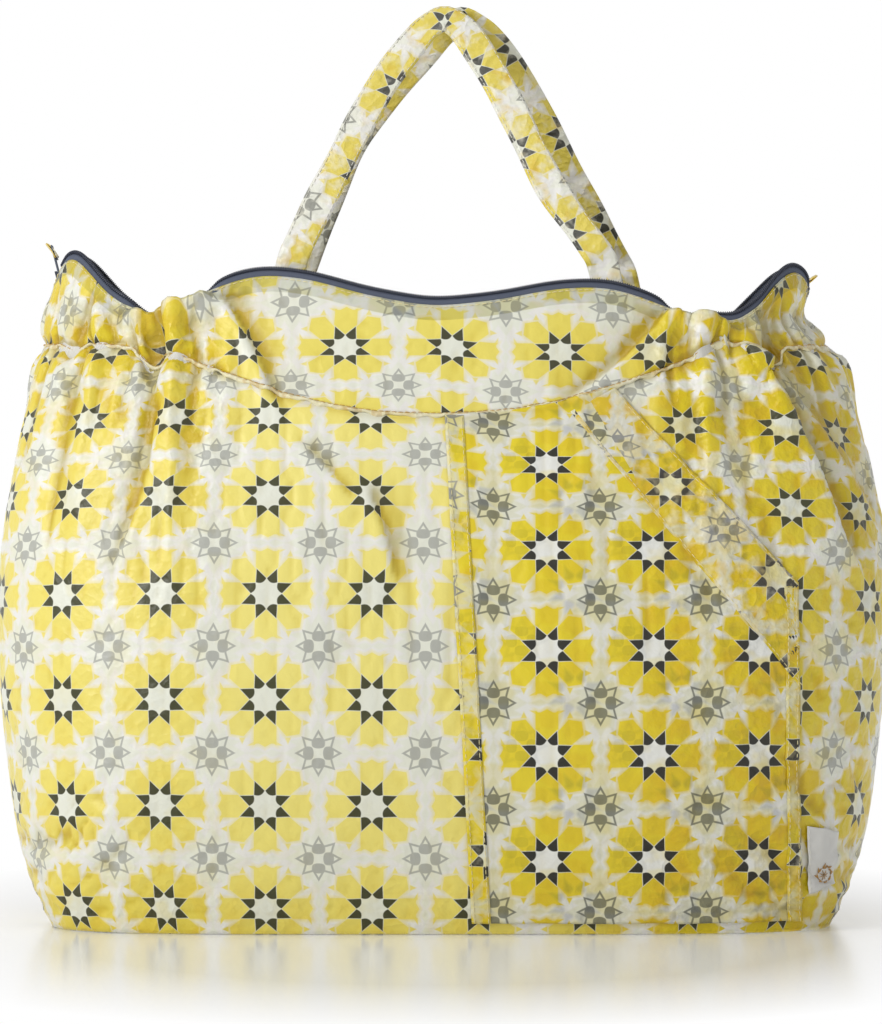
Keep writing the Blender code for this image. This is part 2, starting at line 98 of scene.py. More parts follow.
# ---------------------------------------------------------------- reading the CAD shells
def tree_of(*nodes):
    """CAD nodes as one tree to cast rays at."""
    corners, faces = [], []
    for name in nodes:
        mesh = frame["nodes"][name].data
        start = len(corners)
        corners += [v.co.copy() for v in mesh.vertices]
        faces += [[start + i for i in p.vertices] for p in mesh.polygons]
    return BVHTree.FromPolygons(corners, faces)


def outside(tree, turn, height):
    """The shell's outer face in a direction at a height, or None."""
    aim = Vector((cad_high.x * math.sin(turn), cad_low.y * math.cos(turn), 0.0)).normalized()
    inner = tree.ray_cast(Vector((0.0, 0.0, height)), aim)[0]
    if inner is None:
        return None
    outer = tree.ray_cast(inner + aim * 1e-5, aim, 0.02)[0]
    return outer or inner


def last_height(tree, turn, low, high):
    """The greatest height at which the shell is still met."""
    for _ in range(14):
        middle = (low + high) / 2
        if outside(tree, turn, middle) is None:
            high = middle
        else:
            low = middle
    return low


def run_of(path):
    """Length along a path up to each of its points."""
    return np.concatenate([[0.0], np.cumsum(np.linalg.norm(np.diff(path, axis=0), axis=1))])


def weighted(reach, shifted):
    """The mean of shifted(k) for k from -reach to reach, with bell-shaped weights."""
    total, weight = 0.0, 0.0
    for k in range(-reach, reach + 1):
        w = math.exp(-2.0 * (k / reach) ** 2)
        total = total + w * shifted(k)
        weight += w
    return total / weight


def smooth_ring(rows, reach):
    """Evens out the facets round closed rows of points."""
    return weighted(reach, lambda k: np.roll(rows, k, axis=1))


def read_shells():
    """Rows of points round the panels and then the band, as (row, direction, xyz)."""
    panels = tree_of("front_panel", "back_panel")
    bands = tree_of("front_band", "back_band")
    turns = [-math.pi + 2 * math.pi * (k + 0.5) / TURNS for k in range(TURNS)]
    rows = np.zeros((PANEL_ROWS + BAND_ROWS + 1, TURNS, 3))
    for k, turn in enumerate(turns):
        seam = last_height(panels, turn, *SEAM_BETWEEN)
        edge = last_height(bands, turn, seam + 0.012, ABOVE_EDGE)
        for j in range(PANEL_ROWS + 1):
            rows[j, k] = outside(panels, turn, max(seam * j / PANEL_ROWS * 0.9995, 0.0002))
        for j in range(1, BAND_ROWS + 1):
            height = seam + 0.0006 + (edge - seam - 0.0012) * j / BAND_ROWS
            rows[PANEL_ROWS + j, k] = outside(bands, turn, height)
    rows = smooth_ring(rows, 4)
    rows[0, :, 2] = 0.0004
    # The gathers pull the right end in further than the plain shell does.
    near_end = np.clip((rows[:, :, 0] - 0.15) / 0.06, 0.0, 1.0)
    rows[:, :, 0] -= WAIST_PULL * near_end**2 * np.exp(-((rows[:, :, 2] - WAIST_HEIGHT) / 0.014) ** 2)
    return rows


def respace(rows):
    """The same surface with its columns on the cloth's own vertical threads, gathered towards the ends."""
    q, front = TURNS // 4, TURNS // 2
    # The directions of each quarter, from the middle of the front or back to a side.
    quarters = {
        "back_left": np.arange(q), "front_left": front - 1 - np.arange(q),
        "front_right": front + np.arange(q), "back_right": TURNS - 1 - np.arange(q),
    }
    across = np.linspace(0.0, HALF, QUARTER_COLUMNS + 1)
    joined = []
    for name, order in quarters.items():
        face, end = name.split("_")
        middle_mate = quarters[face + "_" + {"left": "right", "right": "left"}[end]][0]
        side_mate = quarters[{"front": "back", "back": "front"}[face] + "_" + end][-1]
        part = rows[:, order]
        first = (part[:, :1] + rows[:, [middle_mate]]) / 2
        last = (part[:, -1:] + rows[:, [side_mate]]) / 2
        part = np.concatenate([first, part, last], axis=1)
        made = np.zeros((len(rows), QUARTER_COLUMNS + 1, 3))
        for j, line in enumerate(part):
            along = run_of(line)
            stretch = (along[-1] - FREE_HALF) / (HALF - FREE_HALF)
            wanted = np.where(across < FREE_HALF, across, FREE_HALF + (across - FREE_HALF) * stretch)
            for axis in range(3):
                made[j, :, axis] = np.interp(wanted, along, line[:, axis])
        joined.append(made[:, :-1] if name in ("back_left", "front_right") else made[:, :0:-1])
    return np.concatenate(joined, axis=1)


# ---------------------------------------------------------------- the cloth grid
COLUMNS = 4 * QUARTER_COLUMNS
ROWS = PANEL_ROWS + BAND_ROWS + 1


def ring_u(count):
    """Cloth positions of this many columns, from the middle of the back round to it again."""
    return -2 * HALF + 4 * HALF * np.arange(count) / count


COLUMN_U = ring_u(COLUMNS)


def gathered(u):
    """How gathered the seam is at a cloth position: 0 at the middle of the front and back, 1 at the ends."""
    away = np.minimum(np.abs(u), 2 * HALF - np.abs(u))
    t = np.clip((away - 0.105) / 0.03, 0.0, 1.0)
    return t * t * (3 - 2 * t)


def normals_of(points):
    """Outward normals of the closed rows of a body grid."""
    along = np.roll(points, -1, axis=1) - np.roll(points, 1, axis=1)
    up = np.gradient(points, axis=0)
    n = np.cross(along, up)
    return n / np.maximum(np.linalg.norm(n, axis=2, keepdims=True), 1e-12)


def heights_along(points):
    """Length of cloth from the base up each column."""
    steps = np.linalg.norm(np.diff(points, axis=0), axis=2)
    return np.concatenate([np.zeros((1, points.shape[1])), np.cumsum(steps, axis=0)])


def wander(values, seed, waves):
    """A smooth random line in -1..1 over values in metres, with waves of the given lengths."""
    rng = np.random.default_rng(seed)
    total = np.zeros_like(values)
    for length in waves:
        total += np.sin(2 * math.pi * (values / length + rng.random()))
    return total / len(waves)


def dip_seam(points):
    """Draws the seam down where the cloth is tucked deepest, as the elastic leaves it."""
    v = heights_along(points)
    near = np.exp(-(((v - v[PANEL_ROWS]) / (22 * MM)) ** 2))
    front = (points[..., 1] < 0).astype(float)
    x = points[..., 0]
    lowered = points.copy()
    for at, depth, width, facing in SEAM_DIPS:
        here = front if facing < 0 else 1 - front
        lowered[..., 2] -= depth * here * near * np.exp(-(((x - at) / width) ** 2))
    return lowered


def tuck_folds(points, plain):
    """Sharp folds left in the settled cloth: it rises to an edge on one side and drops away on the other."""
    normal = normals_of(points)
    out = np.zeros(points.shape[:2])
    for d, present, (_, _, _, _, rise, fall, reach, _) in tuck_lines(plain):
        step = 1 / (1 + np.exp(-np.clip(d / (0.9 * MM), -30, 30)))
        out += present * (rise * np.exp(-np.abs(d) / reach) * (1 - step)
                          - fall * np.exp(-np.abs(d) / (0.7 * reach)) * step)
    # Small puckers close to the seam, finer than the simulated cloth can hold.
    v = heights_along(plain)
    rows = (len(plain) - 1) * PANEL_ROWS // (ROWS - 1)
    away = np.abs(v - v[rows][None, :])
    u = ring_u(points.shape[1])
    pucker = (0.4 + 1.7 * gathered(u)) * MM * wander(u, 17, (0.0095, 0.0125, 0.0165))
    out += pucker * np.exp(-away / (14 * MM)) * (1 - np.exp(-away / (2 * MM)))
    hold = np.clip(v / (10 * MM), 0, 1) * np.clip((v[-1][None, :] - v - 2.5 * MM) / (8 * MM), 0, 1)
    made = points + normal * (out * hold)[..., None]
    # Where the ends are gathered most, the cloth rolls out and up over the zip.
    below_rim = v[-1][None, :] - v
    for x_low, x_high, high, facing in ROLLS:
        x = plain[..., 0]
        across = np.clip((x - x_low) / 0.012, 0, 1) * np.clip((x_high - x) / 0.012, 0, 1)
        across = across * across * (3 - 2 * across) * (plain[..., 1] * facing > 0)
        lump = np.exp(-(((below_rim - 9 * MM) / (6 * MM)) ** 2))
        lump = lump * np.clip((below_rim - 2 * MM) / (2 * MM), 0, 1)
        made = made + (across * lump * high)[..., None] * (0.75 * normal + np.array([0.0, 0.0, 1.15]))
    return made


def seed_folds(points):
    """Small folds beside the elastic seam, a valley along it, and the filled bag's long creases."""
    normal = normals_of(points)
    v = heights_along(points)
    seam_v = v[PANEL_ROWS]
    below = seam_v[None, :] - v
    pull = gathered(COLUMN_U)[None, :]
    u = np.broadcast_to(COLUMN_U[None, :], v.shape)

    out = np.zeros_like(v)
    panel = below >= 0
    away = np.abs(below)
    # The seam itself is drawn in, and the cloth below it bellies out.
    out -= (0.8 + 2.6 * pull) * MM * np.exp(-(away / (5 * MM)) ** 2)
    out += np.where(panel, 2.2 * MM * pull * np.exp(-((below - 16 * MM) / (12 * MM)) ** 2), 0.0)
    for seed, length, depth, fade in FOLD_WAVES:
        lean = 0.12 * np.sign(u) * below
        bend = u + lean + 0.35 * length * wander(u, seed, (0.061, 0.083, 0.124))
        size = 0.65 + 0.35 * wander(u, seed + 20, (0.052, 0.078, 0.156))
        rise = 1 - np.exp(-away / (4 * MM))
        wave = np.cos(2 * math.pi * bend / length)
        wave = np.where(wave > 0, np.abs(wave) ** 1.6, -0.6 * np.abs(wave))
        reach = np.where(panel, fade, 0.8 * fade)
        out += depth * MM * size * pull * rise * wave * np.exp(-away / reach)
    rim_hold = np.clip((v[-1][None, :] - v) / (14 * MM), 0.0, 1.0)
    out = np.where(panel, out, out * rim_hold)
    # The filled bag's cloth lies in broad, shallow hollows.
    out += 1.6 * MM * wander(u + 0.3 * v, 11, (0.11, 0.17)) * np.sin(math.pi * np.clip(v / 0.3, 0, 1))
    edge_hold = np.clip(v / (12 * MM), 0.0, 1.0)
    return points + normal * (out * edge_hold)[:, :, None]


def tube_faces(base, rings, sides):
    """The quads between closed rings of corners, numbered from base."""
    ring = [(base + s, base + (s + 1) % sides) for s in range(sides)]
    return [
        (r * sides + s, r * sides + t, (r + 1) * sides + t, (r + 1) * sides + s)
        for r in range(rings - 1) for s, t in ring
    ]


def closed_tube(base, rings, sides):
    """The same, with both ends closed."""
    last = base + (rings - 1) * sides
    ends = [tuple(reversed(range(base, base + sides))), tuple(range(last, last + sides))]
    return tube_faces(base, rings, sides) + ends


def rest_shape(points):
    """The cloth before gathering: a tube of the flat width, and above the seam one as wide as the rim."""
    radius = 4 * HALF / (2 * math.pi)
    angle = COLUMN_U / (4 * HALF) * 2 * math.pi
    rim = points[-1]
    rim_steps = np.linalg.norm(np.roll(rim, -1, axis=0) - rim, axis=1)
    rim_radius = rim_steps.sum() * 1.02 / (2 * math.pi)
    t = np.clip((np.arange(ROWS) - PANEL_ROWS) / 4, 0.0, 1.0)[:, None]
    r = radius * (1 - t) + rim_radius * t
    return np.stack([r * np.sin(angle), -r * np.cos(angle), heights_along(points)], axis=-1)


def settle(points):
    """Lets the cloth find its own folds between the base, the elastic seam and the zip, which hold it."""
    rest = rest_shape(points)
    mesh = bpy.data.meshes.new("settling")
    mesh.from_pydata(points.reshape(-1, 3).tolist(), [], tube_faces(0, ROWS, COLUMNS))
    body = bpy.data.objects.new("settling", mesh)
    bpy.context.scene.collection.objects.link(body)
    body.shape_key_add(name="Basis")
    flat = body.shape_key_add(name="flat")
    flat.data.foreach_set("co", rest.astype(np.float32).ravel())
    hold = np.zeros((ROWS, COLUMNS))
    hold[[0, 1, -1]] = 1.0
    hold[-2] = 0.8
    hold[PANEL_ROWS] = 0.55 + 0.45 * gathered(COLUMN_U)
    pins = body.vertex_groups.new(name="held")
    for index in np.flatnonzero(hold):
        pins.add([int(index)], float(hold.flat[index]), "REPLACE")
    cloth = body.modifiers.new("cloth", "CLOTH")
    values = dict(
        quality=5, mass=0.12, tension_stiffness=12, compression_stiffness=12, shear_stiffness=4,
        bending_stiffness=0.25, tension_damping=8, compression_damping=8, bending_damping=2, air_damping=3,
        vertex_group_mass="held", pin_stiffness=4, rest_shape_key=flat, use_pressure=True,
        uniform_pressure_force=5.0,
    )
    for key, value in values.items():
        setattr(cloth.settings, key, value)
    cloth.settings.effector_weights.gravity = 0.15
    cloth.collision_settings.use_self_collision = False
    cloth.collision_settings.use_collision = False
    cloth.point_cache.frame_start = 1
    cloth.point_cache.frame_end = SETTLE_FRAMES
    scene = bpy.context.scene
    for f in range(1, SETTLE_FRAMES + 1):
        scene.frame_set(f)
    moved = np.zeros(ROWS * COLUMNS * 3, np.float32)
    graph = bpy.context.evaluated_depsgraph_get()
    body.evaluated_get(graph).data.vertices.foreach_get("co", moved)
    moved = moved.reshape(ROWS, COLUMNS, 3).astype(float)
    bpy.data.objects.remove(body)
    bpy.data.meshes.remove(mesh)
    scene.frame_set(1)
    shift = moved - points
    size = np.linalg.norm(shift, axis=2, keepdims=True)
    return points + shift * (MOST_SHIFT * np.tanh(size / MOST_SHIFT) / np.maximum(size, 1e-9))


def denser(points):
    """Twice the rows and columns, on a smooth curve through the points."""
    def between(a, b, c, d):
        return (9 * (b + c) - a - d) / 16

    columns = np.empty((points.shape[0], 2 * points.shape[1], 3))
    columns[:, 0::2] = points
    columns[:, 1::2] = between(*(np.roll(points, k, 1) for k in (1, 0, -1, -2)))
    padded = np.concatenate([2 * columns[:1] - columns[1:2], columns, 2 * columns[-1:] - columns[-2:-1]])
    rows = np.empty((2 * points.shape[0] - 1, columns.shape[1], 3))
    rows[0::2] = columns
    rows[1::2] = between(padded[:-3], padded[1:-2], padded[2:-1], padded[3:])
    return rows


def blur(grid, reach):
    """Evens a dense grid in both directions."""
    made = smooth_ring(grid, reach)
    padded = np.concatenate([np.repeat(made[:1], reach, axis=0), made, np.repeat(made[-1:], reach, axis=0)])
    return weighted(reach, lambda k: padded[reach + k : reach + k + len(made)])


def valleys_of(points):
    """How deep each point lies among its neighbours, from 0 on even cloth to 1 in a sharp fold. It sets the
    painted shade in folds.
    """
    total = np.zeros(points.shape[:2])
    for reach, depth in ((5, 0.9 * MM), (12, 2.6 * MM)):
        sunk = ((blur(points, reach) - points) * normals_of(points)).sum(axis=2)
        total += 0.6 * np.clip(sunk / depth, 0.0, 1.0)
    total[:3] = total[-5:] = 0.0
    return np.clip(total, 0.0, 1.0)


def tuck_lines(plain):
    """For each tuck: signed distance from its line, how present it is, and the tuck itself."""
    x, y, z = plain[..., 0], plain[..., 1], plain[..., 2]
    for tuck in TUCKS:
        x0, z0, x1, z1, _, _, _, facing = tuck
        dx, dz = x1 - x0, z1 - z0
        long = math.hypot(dx, dz)
        t = ((x - x0) * dx + (z - z0) * dz) / long**2
        bow = 0.04 * long * np.sin(math.pi * np.clip(t, 0, 1))
        d = ((x - x0) * dz - (z - z0) * dx) / long + bow
        beyond = np.clip(np.abs(t - 0.5) - 0.5, 0.0, None) * long
        present = np.exp(-((beyond / (0.18 * long)) ** 2)) * np.clip(1.15 - 0.45 * t, 0, 1)
        yield d, present * (y * facing > 0), tuck


def tuck_shade(plain):
    """The shadow on the lower side of each tuck."""
    total = np.zeros(plain.shape[:2])
    for d, present, (_, _, _, _, rise, fall, reach, _) in tuck_lines(plain):
        low = d < 0 if rise < 0 else d > 0
        total += 0.12 / MM * min(abs(rise) + abs(fall), 7 * MM) * present * np.where(
            low, np.exp(-np.abs(d) / reach), np.exp(-np.abs(d) / (0.6 * MM)))
    return total


def tuck_shift(plain):
    """Cloth hidden inside each tuck, which the print jumps across."""
    total = np.zeros(plain.shape[:2])
    for d, present, (_, _, _, _, rise, fall, _, _) in tuck_lines(plain):
        hidden = 1.1 * (abs(rise) + abs(fall))
        fade = np.exp(-np.abs(d) / (45 * MM))
        total += -0.5 * hidden * present * fade * np.sign(d) * (1 - np.exp(-np.abs(d) / (0.8 * MM)))
    return total


def bilinear(grid, row, column):
    """Reads a grid between its points. Its columns close into a ring."""
    row, column = np.broadcast_arrays(row, column)
    j, i = np.floor(row).astype(int), np.floor(column).astype(int)
    t, s = row - j, column - i
    if grid.ndim == 3:
        t, s = t[..., None], s[..., None]
    i, k = i % grid.shape[1], (i + 1) % grid.shape[1]
    low = grid[j, i] * (1 - s) + grid[j, k] * s
    high = grid[j + 1, i] * (1 - s) + grid[j + 1, k] * s
    return low * (1 - t) + high * t


class Body:
    """The settled cloth, read at a cloth position u and a level: 0 base, 1 seam, 2 mouth edge."""

    def __init__(self, plain, settled):
        self.plain = plain
        self.points = settled
        dense = denser(plain)
        lengths = heights_along(dense)
        seam_row = (len(dense) - 1) * PANEL_ROWS // (ROWS - 1)
        off_seam = lengths - lengths[seam_row][None, :]
        # Painted shade: a dark line just below the seam, where the welt casts its shadow.
        shadow_below_seam = np.exp(-np.abs(off_seam) / (2.2 * MM)) * (off_seam < 0) * 0.95
        # Painted shade in fold valleys, along the tucks and below the seam, passed to the colour through the
        # fold UV layer.
        self.valley_shade = valleys_of(settled) + tuck_shade(dense) + shadow_below_seam
        # Deeper yellow where the gathers bunch the cloth near the seam.
        pull = gathered(ring_u(dense.shape[1]))[None, :]
        near_seam = np.exp(-np.abs(off_seam) / (40 * MM))
        # Painted shade: deeper yellow towards the right end, which faces away from the key light.
        right_end_shade = np.clip((dense[..., 0] - 0.04) / 0.13, 0.0, 1.0)
        # Deeper yellow towards the foot.
        foot = np.exp(-lengths / (45 * MM))
        self.bunched_and_shade = np.clip(pull * (0.25 + 0.75 * near_seam) + 0.55 * right_end_shade + 0.45 * foot, 0.0, 1.0)
        self.lost = tuck_shift(dense)
        self.normals = normals_of(settled)
        self.v = heights_along(plain)

    def read(self, grid, u, level):
        """Reads a grid of the plain resolution or twice it."""
        level = np.asarray(level, float)
        row = np.where(level <= 1, level * PANEL_ROWS, PANEL_ROWS + (level - 1) * BAND_ROWS)
        row = np.clip(row * (grid.shape[0] - 1) / (ROWS - 1), 0, grid.shape[0] - 1.000001)
        column = (np.asarray(u, float) + 2 * HALF) / (4 * HALF) * grid.shape[1]
        return bilinear(grid, row, column)

    def at(self, u, level, out=0.0):
        out = np.asarray(out, float)
        n = self.read(self.normals, u, level)
        n = n / np.maximum(np.linalg.norm(n, axis=-1, keepdims=True), 1e-9)
        return self.read(self.points, u, level) + n * out[..., None]

    def cloth_v(self, u, level):
        return self.read(self.v, u, level)

    def print_uv(self, u, level):
        """Print coordinates. Small creases take up cloth towards the seam, so the print shortens there."""
        v = self.cloth_v(u, level)
        share = np.clip(u / 0.03, 0.0, 1.0)
        left, right = (np.interp(v, SLACK_AT, slack) for slack in (LEFT_SLACK, RIGHT_SLACK))
        slack = left * (1 - share) + right * share
        return np.stack([np.broadcast_to(u, v.shape) + self.read(self.lost, u, level), v + slack], axis=-1)

    # The colour's painted fold shade, and its share of deeper yellow, as a UV layer.
    def fold_shade_uv(self, u, level):
        valley_shade = np.clip(self.read(self.valley_shade, u, level), 0.0, 1.0)
        return np.stack([valley_shade, self.read(self.bunched_and_shade, u, level)], axis=-1)

    def find(self, x, z):
        """(u, level) of the front panel's points at these x and heights."""
        x, z = np.asarray(x, float), np.asarray(z, float)
        u, level = x * 1.02, z / 0.30
        for _ in range(30):
            p = self.read(self.plain, u, level)
            u = np.clip(u + (x - p[..., 0]) * 0.9, -HALF, HALF)
            level = np.clip(level + (z - p[..., 2]) / 0.32 * 0.9, 0.0, 1.0)
        return u, level


# Waves of folds at the gathers: seed, length in metres, depth in mm, and how far from the seam they fade.
FOLD_WAVES = ((3, 0.020, 2.4, 0.026), (5, 0.031, 3.6, 0.050), (7, 0.052, 3.6, 0.095))
# Where the seam dips: x, depth, width, and -1 for the front or 1 for the back.
SEAM_DIPS = (
    (-0.160, 9 * MM, 7 * MM, -1), (0.181, 11 * MM, 7 * MM, -1), (-0.205, 4 * MM, 6 * MM, -1),
    (0.150, -3 * MM, 9 * MM, -1), (-0.170, 8 * MM, 7 * MM, 1), (0.150, 9 * MM, 8 * MM, 1),
)
# Folds: x and height of the upper and the lower end, rise on one side, fall on the other, reach, and side.
TUCKS = (
    (0.178, 0.316, 0.226, 0.220, -4.0 * MM, -7.0 * MM, 18 * MM, -1),
    (-0.158, 0.280, -0.176, 0.214, 2.6 * MM, 1.8 * MM, 11 * MM, -1),
    (-0.073, 0.266, -0.052, 0.243, -1.8 * MM, -1.4 * MM, 7 * MM, -1),
    (-0.038, 0.240, -0.026, 0.200, -2.0 * MM, -1.8 * MM, 8 * MM, -1),
    (-0.120, 0.350, -0.093, 0.298, -3.4 * MM, -4.0 * MM, 10 * MM, -1),
    (-0.150, 0.348, -0.157, 0.305, 4.4 * MM, 4.0 * MM, 9 * MM, -1),
    (0.122, 0.340, 0.076, 0.298, 3.0 * MM, 3.4 * MM, 10 * MM, -1),
    (0.176, 0.342, 0.179, 0.314, -3.8 * MM, -4.2 * MM, 8 * MM, -1),
    (-0.196, 0.345, -0.205, 0.318, 2.6 * MM, 2.6 * MM, 8 * MM, -1),
    (0.190, 0.312, 0.236, 0.250, -1.8 * MM, -2.6 * MM, 9 * MM, -1),
    (-0.172, 0.312, -0.215, 0.235, 2.4 * MM, 3.2 * MM, 12 * MM, 1),
    (0.152, 0.312, 0.190, 0.225, -2.4 * MM, -3.6 * MM, 13 * MM, 1),
    (-0.165, 0.345, -0.168, 0.310, 3.6 * MM, 3.4 * MM, 9 * MM, 1),
    (0.148, 0.342, 0.150, 0.312, -3.4 * MM, -3.6 * MM, 9 * MM, 1),
    (0.030, 0.262, 0.052, 0.205, 1.8 * MM, 1.6 * MM, 8 * MM, 1),
    (-0.070, 0.275, -0.045, 0.235, -1.6 * MM, -1.6 * MM, 8 * MM, 1),
)
# Rolls of cloth over the zip: from x to x, how high, and side.
ROLLS = (
    (-0.180, -0.121, 6.5 * MM, -1), (0.119, 0.166, 6.0 * MM, -1),
    (-0.170, -0.128, 5.0 * MM, 1), (0.126, 0.160, 4.0 * MM, 1),
)


def make_body():
    """The cloth grid: read off the CAD, folded, settled, made dense and tucked."""
    plain = dip_seam(respace(read_shells()))
    folded = seed_folds(plain)
    settled = settle(folded)
    return Body(plain, tuck_folds(denser(settled), denser(plain)))


body = make_body()


# ---------------------------------------------------------------- meshes from grids
def new_piece(name, corners, faces, uvs, material):
    """A smooth mesh object. A UV layer gives a pair of values for every corner of every face, in order."""
    mesh = bpy.data.meshes.new(name)
    mesh.from_pydata(corners, [], faces)
    for layer, uv in uvs.items():
        mesh.uv_layers.new(name=layer).data.foreach_set("uv", np.asarray(uv, np.float32).ravel())
    mesh.shade_smooth()
    mesh.materials.append(material)
    piece = bpy.data.objects.new(name, mesh)
    bpy.context.scene.collection.objects.link(piece)
    return piece


def dress(piece, rides, replaces=()):
    if replaces:
        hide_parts(*replaces)
    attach(piece, rides)


def grid_piece(name, points, uvs, material, rides="bag", replaces=(), thick=SHEET_THICK):
    """A cloth sheet from a grid of points. Its rows go up, and its columns go right as seen from outside."""
    rows, columns = points.shape[:2]
    index = np.arange(rows * columns).reshape(rows, columns)
    quads = np.stack([index[:-1, :-1], index[:-1, 1:], index[1:, 1:], index[1:, :-1]], axis=-1)
    quads = quads.reshape(-1, 4)
    at_corners = {layer: uv.reshape(-1, 2)[quads.ravel()] for layer, uv in uvs.items()}
    piece = new_piece(name, points.reshape(-1, 3).tolist(), quads.tolist(), at_corners, material)
    shell = piece.modifiers.new("cloth", "SOLIDIFY")
    shell.thickness = thick
    shell.offset = -1
    dress(piece, rides, replaces)


def frames_on(path, normals):
    """Tangent, side and normal along a path."""
    tangent = np.gradient(path, axis=0)
    tangent /= np.maximum(np.linalg.norm(tangent, axis=1, keepdims=True), 1e-12)
    side = np.cross(normals, tangent)
    side /= np.maximum(np.linalg.norm(side, axis=1, keepdims=True), 1e-12)
    return tangent, side, np.cross(tangent, side)


def read_at(wanted, along, values):
    """Rows of values, given at places along a line, read at the wanted places."""
    return np.stack([np.interp(wanted, along, values[:, a]) for a in range(values.shape[1])], axis=-1)


def resample(path, step, *carried):
    """Points at even steps along a path, then what is carried along it, read at the same places."""
    along = run_of(path)
    count = max(int(round(along[-1] / step)), 1)
    wanted = np.linspace(0.0, along[-1], count + 1)
    source = np.linspace(0.0, 1.0, len(path))
    return [read_at(wanted, along, path)] + [read_at(wanted / along[-1], source, rows) for rows in carried]


def stitches(name, lines, material, rides="bag"):
    """Rows of thread. Each line is (path, normals), and a stitch dips into the cloth at both its ends."""
    corners, faces = [], []
    sides = 5
    angles = np.arange(sides) * 2 * math.pi / sides
    for path, normals in lines:
        even, n = resample(path, (STITCH_LONG + STITCH_GAP) / 4, normals)
        _, side, up = frames_on(even, n)
        for start in range(0, len(even) - 4, 4):
            rings = []
            for k, lift in ((0, -0.6), (1, 0.7), (2, 0.75), (3, -0.6)):
                centre = even[start + k] + up[start + k] * THREAD * lift
                wide = THREAD * (0.6 if k in (0, 3) else 1.0)
                rings.append(
                    centre + np.outer(np.cos(angles), side[start + k]) * wide
                    + np.outer(np.sin(angles), up[start + k]) * wide
                )
            base = len(corners)
            corners.extend(np.concatenate(rings))
            faces += closed_tube(base, 4, sides)
    dress(new_piece(name, corners, faces, {}, material), rides)


# ---------------------------------------------------------------- node materials
class Shade:
    """A value inside a node tree, so that a pattern reads as arithmetic."""

    def __init__(self, tree, socket):
        self.tree, self.socket = tree, socket

    def _math(self, operation, *others, clamp=False):
        node = self.tree.nodes.new("ShaderNodeMath")
        node.operation = operation
        node.use_clamp = clamp
        for k, value in enumerate((self, *others)):
            if isinstance(value, Shade):
                self.tree.links.new(value.socket, node.inputs[k])
            else:
                node.inputs[k].default_value = value
        return Shade(self.tree, node.outputs[0])

    def __add__(self, other):
        return self._math("ADD", other)

    def __radd__(self, other):
        return self._math("ADD", other)

    def __sub__(self, other):
        return self._math("SUBTRACT", other)

    def __rsub__(self, other):
        return (self * -1.0)._math("ADD", other)

    def __mul__(self, other):
        return self._math("MULTIPLY", other)

    def __rmul__(self, other):
        return self._math("MULTIPLY", other)

    def __truediv__(self, other):
        return self._math("DIVIDE", other)

    def __abs__(self):
        return self._math("ABSOLUTE")

    def fract(self):
        return self._math("FRACT")

    def low(self, other):
        return self._math("MINIMUM", other)

    def high(self, other):
        return self._math("MAXIMUM", other)

    def held(self):
        return self.high(0.0).low(1.0)

    def root(self):
        return self._math("SQRT")

    def sine(self):
        return self._math("SINE")

    def clamped(self):
        return self._math("MULTIPLY", 1.0, clamp=True)

    def over(self, soft):
        """1 where the value is above 0 and 0 below, with an edge this soft."""
        return (self / soft + 0.5).clamped()


def mix(tree, share, a, b, blend="MIX"):
    """Colours a and b, each a socket or a tuple, mixed by a share."""
    node = tree.nodes.new("ShaderNodeMix")
    node.data_type = "RGBA"
    node.blend_type = blend
    if isinstance(share, Shade):
        tree.links.new(share.socket, node.inputs[0])
    else:
        node.inputs[0].default_value = share
    for k, colour in ((6, a), (7, b)):
        if isinstance(colour, tuple):
            node.inputs[k].default_value = (*colour, 1.0)
        else:
            tree.links.new(colour, node.inputs[k])
    return node.outputs[2]


def linear(red, green, blue):
    """A colour given as 0..255 display values, in the scene's linear space."""
    values = []
    for c in (red, green, blue):
        c /= 255.0
        values.append(c / 12.92 if c <= 0.04045 else ((c + 0.055) / 1.055) ** 2.4)
    return tuple(values)


WHITE = (1.0, 1.0, 1.0)
CREAM = linear(227, 228, 213)
PALE = linear(231, 229, 223)
FOLD_SHADE_TINT = (0.58, 0.50, 0.22)  # painted shade in deep folds: what they do to the light that the thin cloth passes
STRIP_TINT = (0.76, 0.77, 0.74)  # of the turned edge's double cloth
SOFT = 0.45  # softness of the print's edges, in print units


def layer_parts(tree, layer):
    """The two coordinates of a UV layer."""
    uv = tree.nodes.new("ShaderNodeUVMap")
    uv.uv_map = layer
    split = tree.nodes.new("ShaderNodeSeparateXYZ")
    tree.links.new(uv.outputs[0], split.inputs[0])
    return Shade(tree, split.outputs[0]), Shade(tree, split.outputs[1])


